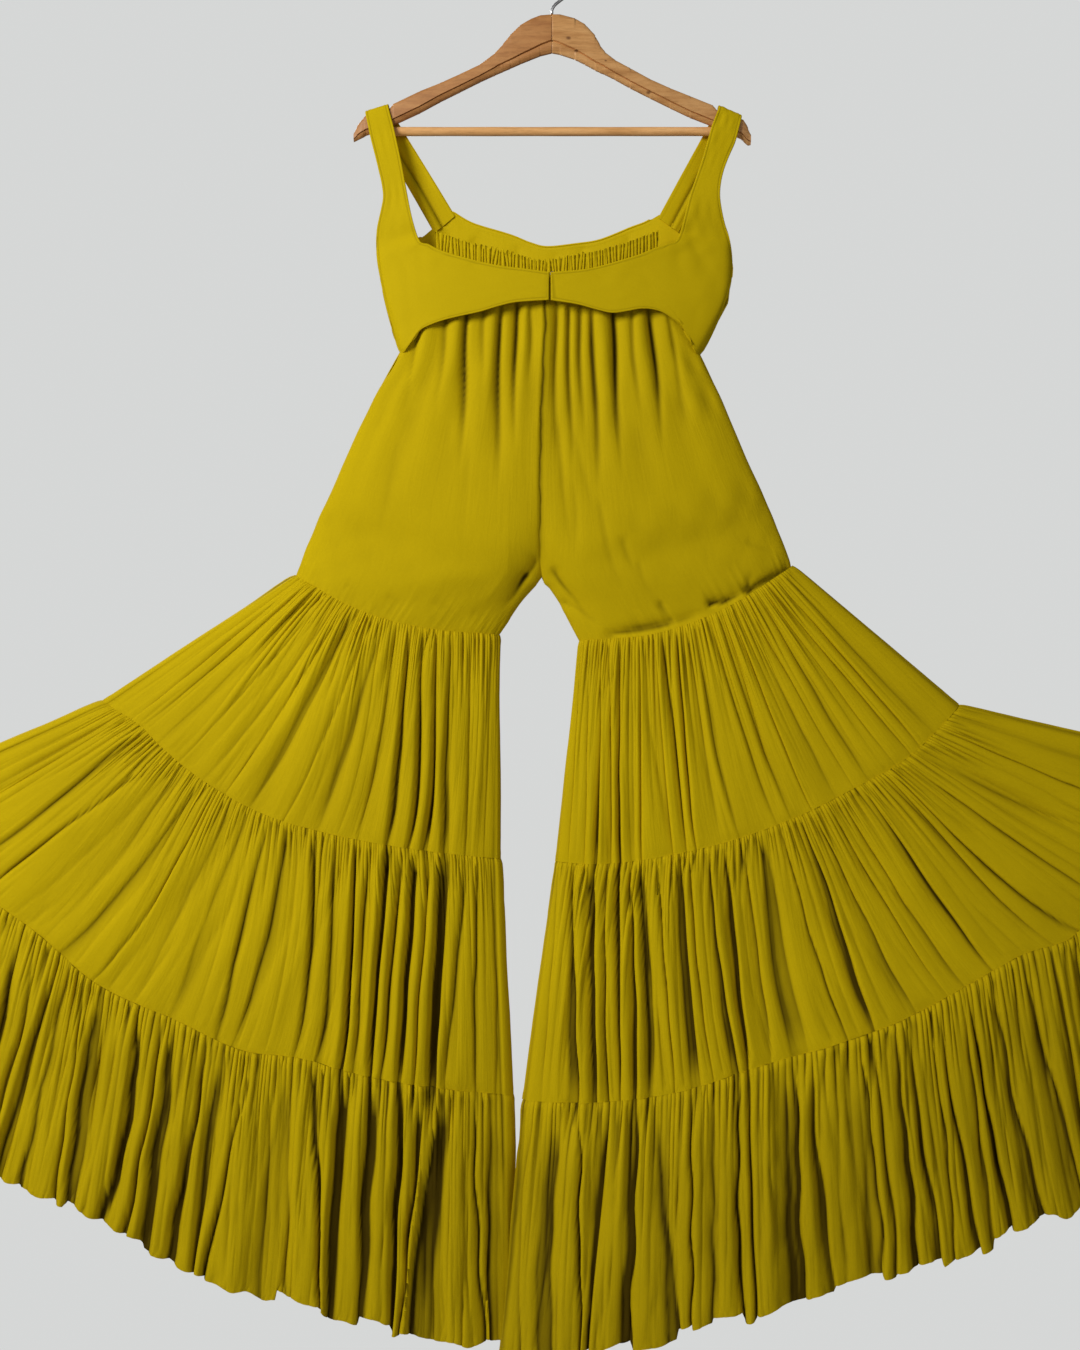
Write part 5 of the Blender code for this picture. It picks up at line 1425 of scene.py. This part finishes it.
def back_waistband(name, seed):
    """Ruches the elastic strip: over each of 64 uneven, slanting ruches the cloth stands out
    by a height times |sin|^0.45, less at the two rows of stitches that hold the elastic; the
    top edge frills."""
    columns, rows, ruches = 696, 14, 64
    line = smooth_line(WAISTBAND_TOP, columns + 1)
    k = np.linspace(-1, 1, columns + 1)
    w = np.linspace(0, 1, columns + 1)
    v = np.linspace(0, 1, rows)
    slant = 0.012 * (v - 0.4)[:, None] * ripples(w, seed + 3, 3, 14)[None, :]
    turns = ruches * (w + 0.0022 * ripples(w, seed + 4, 9, 30))[None, :] + ruches * slant
    height = 2.3 * (1 + 0.2 * ripples(w, seed + 5, 20, 45))[None, :] * (
        0.8 + 0.4 * cloth_noise(w[None, :] + slant, v[:, None] + 0 * slant, seed + 6, 90, 3))
    tuck = height * np.abs(np.sin(math.pi * turns)) ** 0.45
    held = 1 - 0.35 * np.exp(-((v - 0.2) / 0.05) ** 2) - 0.35 * np.exp(
        -((v - 0.88) / 0.05) ** 2)
    frill = 1.5 * ripples(w, seed + 2, 40, 70)
    lift = CLOTH - 0.6 + tuck * held[:, None]
    x = line[None, :, 0] + 0 * v[:, None]
    z = line[None, :, 1] - WAISTBAND_HEIGHT * v[:, None] + frill[None, :] * (
        1 - ease(v / 0.2))[:, None]
    y = waistband_base(k)[None, :] - lift
    grid = np.stack([x, y, z], axis=2)
    width, length = measure(grid)
    # Painted shade in the hollows between the ruches
    made = shell(name + "_cloth", grid, False, ruched, size=(width, length), flip=True,
                 valley=0.7 * valley_share(lift, False, 5, 1.5))
    stand_for(made, name)


for number, side in enumerate(("left", "right")):
    back_bodice(f"back_bodice_{side}", side, 500 + number)
    front_strap(f"front_strap_{side}", side, 520 + number)
front_bodice("front_bodice", 540)
back_waistband("back_waistband", 560)


# Hanger and closure
def loft(name, rings, finish):
    """Joins closed rings of points (stations x sides x 3, mm) into a solid; each end is
    closed by strips from side to side."""
    stations, sides = rings.shape[:2]
    r = np.arange(stations - 1)[:, None]
    c = np.arange(sides)[None, :]
    n = (c + 1) % sides
    face = np.stack([r * sides + c, r * sides + n, (r + 1) * sides + n,
                     (r + 1) * sides + c], -1).reshape(-1, 4)
    s = np.arange(sides // 2 - 1)
    cap = np.stack([s, s + 1, sides - 2 - s, sides - 1 - s], -1)
    far = cap + (stations - 1) * sides
    quads = np.concatenate([face, cap[:, ::-1], far])
    points = rings.reshape(-1, 3) * MM
    a, b, d, e = (points[quads[:, i]] for i in range(4))
    volume = (a * np.cross(b, d)).sum() + (a * np.cross(d, e)).sum()
    if volume < 0:
        quads = quads[:, ::-1]
    return build_mesh(name, points, quads, np.zeros((len(quads), 4, 2)), finish)


def rod(name, path, radius, sides, finish):
    """Carries a round section along a path; radius may change along it."""
    p = np.array(path, float)
    along = unit(np.gradient(p, axis=0))
    side = np.cross(along, np.array([0.0, 1.0, 0.0]))
    side = np.where(np.linalg.norm(side, axis=1, keepdims=True) < 0.2,
                    np.array([1.0, 0.0, 0.0]), side)
    side = unit(side)
    up = unit(np.cross(side, along))
    turn = np.arange(sides) * TAU / sides
    ring = (side[:, None] * np.cos(turn)[None, :, None]
            + up[:, None] * np.sin(turn)[None, :, None])
    size = np.broadcast_to(np.asarray(radius, float), (len(p),))
    return loft(name, p[:, None] + size[:, None, None] * ring, finish)


def arm(name, side, finish):
    """Carries a soft-cornered section along one arm: at a point turned through angle a, y and
    z are signed powers 0.42 of cos a and sin a, times the half width and half height. A groove
    2.6 mm deep runs 12 to 5 mm above the lower edge: the points at 15 and 25 degrees below the
    middle are its floor and its lower lip. The wood below it is chamfered to 3 mm, and the
    mitre's edges are eased."""
    table = np.array(ARMS[side], float)
    table = table[np.argsort(table[:, 0])]
    mitre = np.sign(table[:, 0].sum()) * np.array([0.4, 0.8])
    x = np.unique(np.concatenate([np.linspace(table[0, 0], table[-1, 0], 150), table[:, 0],
                                  mitre]))
    top = np.interp(x, table[:, 0], table[:, 1])
    low = np.interp(x, table[:, 0], table[:, 2])
    kernel = np.array([1.0, 2.0, 3.0, 2.0, 1.0]) / 9
    top = np.convolve(np.pad(top, 2, mode="edge"), kernel, mode="valid")
    low = np.convolve(np.pad(low, 2, mode="reflect", reflect_type="odd"), kernel, mode="valid")
    half = 7.0 - 0.5 * np.abs(x) / ARM_REACH
    tip = np.abs(x) / np.abs(x).max()
    half = half * (1 - 0.4 * ease((tip - 0.955) / 0.045)) - 0.45 * (1 - ease(np.abs(x) / 0.8))
    sides = 36
    a = np.arange(sides) * TAU / sides + TAU / (2 * sides)
    wide = np.sign(np.cos(a)) * np.abs(np.cos(a)) ** 0.42
    tall = np.sign(np.sin(a)) * np.abs(np.sin(a)) ** 0.42
    degrees = np.round(np.degrees(a))
    floor_at, lip_at = 0.60, 0.51
    tall = np.where(np.isin(degrees, (195, 345)), floor_at - 1, tall)
    tall = np.where(np.isin(degrees, (205, 335)), lip_at - 1, tall)
    reach = (top - low) / 2
    cut_in = np.interp(1 + tall, [0.0, 0.2, lip_at, floor_at, 0.64], [3.0, 2.2, 1.0, 2.6, 0.0])
    cut_in = np.minimum(cut_in, 3.5 * np.abs(wide)) * np.sign(wide)
    chamfer = cut_in[None, :] * ease(reach / 8.0)[:, None]
    line = np.interp(np.abs(x), [0, 20, 45, 120, ARM_REACH], [12.4, 10.0, 8.2, 6.2, 5.0])
    lower = np.clip(line / (floor_at * reach), 0, 1)[:, None]
    height = (1 + tall) * np.where(tall < -0.35, lower, 1.0)
    rings = np.stack([x[:, None] + 0 * a[None, :],
                      arm_mid(x)[:, None] + half[:, None] * wide[None, :] - chamfer,
                      low[:, None] + reach[:, None] * height], axis=2)
    stand_for(loft(name + "_wood", rings, finish), name)


def trouser_bar():
    """Turns the round bar, whose radius differs by a few hundredths of a millimetre."""
    x = np.linspace(-BAR_HALF_LENGTH, BAR_HALF_LENGTH, 60)
    path = np.stack([x, 0 * x + BAR_Y, 0 * x + BAR_Z], 1)
    made = rod("trouser_bar_wood", path, BAR_RADIUS + 0.06 * np.sin(x * 0.07), 32, beech_bar)
    stand_for(made, "trouser_bar")


def hanger_hook():
    """Bends the hanger's hook; both ends of its wire are rounded."""
    steps = 150
    path = smooth_line([(x, 0.0, z) for x, z in HOOK_PATH], steps)
    from_end = np.clip(np.minimum(np.arange(steps), np.arange(steps)[::-1]) / 3.0, 0, 1)
    radius = WIRE * np.sqrt(np.clip(1 - (1 - from_end) ** 2, 0.05, 1))
    stand_for(rod("hanger_hook_wire", path, radius, 24, steel), "hanger_hook")


# The closure's hook from above: x, y.
CATCH_PATH = [(-8.0, -23.3), (-5.0, -23.3), (-3.7, -22.95), (-2.8, -22.3), (-1.7, -22.1),
              (-0.9, -22.4), (-0.7, -23.2)]


def closure():
    """Bends the centre back's hook, and its eye: an open ring."""
    path = smooth_line([(x, y, CLOSURE_Z) for x, y in CATCH_PATH], 60)
    stand_for(rod("closure_hook_wire", path, CLOSURE_WIRE, 12, steel), "closure_hook")
    eye_x, eye_radius = 0.4, 2.4
    turn = np.linspace(math.radians(18), math.radians(342), 72)
    path = np.stack([eye_x + eye_radius * np.cos(turn), CLOSURE_Y + 0 * turn,
                     CLOSURE_Z + eye_radius * np.sin(turn)], 1)
    stand_for(rod("closure_eye_wire", path, CLOSURE_WIRE, 12, steel), "closure_eye")


arm("hanger_arm_left", "left", beech_left)
arm("hanger_arm_right", "right", beech_right)
trouser_bar()
hanger_hook()
closure()


# Camera, light, floor
def level_camera():
    """Stands the level camera, which looks along +Y."""
    data = bpy.data.cameras.new("camera")
    data.lens = CAMERA_LENS
    data.sensor_width = 36.0
    data.clip_end = 60.0
    made = bpy.data.objects.new("camera", data)
    made.location = (CAMERA_X * MM, -CAMERA_AWAY * MM, CAMERA_Z * MM)
    made.rotation_euler = (math.pi / 2, 0.0, 0.0)
    bpy.context.scene.collection.objects.link(made)
    bpy.context.scene.camera = made


def soft_light(name, place, aim, size, power):
    """Hangs a square soft light at place, turned to aim."""
    data = bpy.data.lights.new(name, "AREA")
    data.shape = "SQUARE"
    data.size = size
    data.energy = power
    made = bpy.data.objects.new(name, data)
    made.location = place
    line = np.array(aim, float) - np.array(place, float)
    flat = math.hypot(line[0], line[1])
    made.rotation_euler = (math.atan2(flat, -line[2]), 0.0, math.atan2(-line[0], line[1]))
    bpy.context.scene.collection.objects.link(made)


def pale_floor():
    """Lays a round, plain, pale floor well below the garment."""
    radius, height = 1.6, -2.2
    mesh = bpy.data.meshes.new("floor")
    turn = np.linspace(0, TAU, 96, endpoint=False)
    mesh.from_pydata([(radius * math.cos(t), radius * math.sin(t), height) for t in turn], [],
                     [tuple(range(96))])
    floor = bpy.data.objects.new("floor", mesh)
    bpy.context.scene.collection.objects.link(floor)
    pale, _, shader = start_finish("pale_floor")
    shader.inputs["Base Color"].default_value = (0.62, 0.62, 0.61, 1.0)
    shader.inputs["Roughness"].default_value = 0.8
    mesh.materials.append(pale)


def studio_sky():
    """Surrounds the scene with a pale wall's grey, which the camera sees, and a faint warm
    light, which falls on the garment."""
    world = bpy.data.worlds.new("studio")
    bpy.context.scene.world = world
    world.use_nodes = True
    sky = world.node_tree
    sky.nodes.clear()
    seen_sky = node(sky, "ShaderNodeBackground", Color=(0.67, 0.68, 0.675, 1.0), Strength=1.0)
    lit_sky = node(sky, "ShaderNodeBackground", Color=(1.0, 0.98, 0.95, 1.0), Strength=0.12)
    ray = node(sky, "ShaderNodeLightPath")
    pick = node(sky, "ShaderNodeMixShader")
    end = node(sky, "ShaderNodeOutputWorld")
    sky.links.new(ray.outputs["Is Camera Ray"], pick.inputs["Fac"])
    sky.links.new(lit_sky.outputs[0], pick.inputs[1])
    sky.links.new(seen_sky.outputs[0], pick.inputs[2])
    sky.links.new(pick.outputs[0], end.inputs["Surface"])


level_camera()
pale_floor()
soft_light("key", (-1.8, -1.9, 0.35), (0.0, 0.0, -0.78), 1.05, 62.0)
soft_light("fill", (1.5, -2.3, 0.3), (0.0, 0.0, -0.8), 1.6, 8.0)
soft_light("rear", (-1.2, 2.6, 0.6), (0.0, 0.0, -0.8), 2.0, 70.0)
studio_sky()
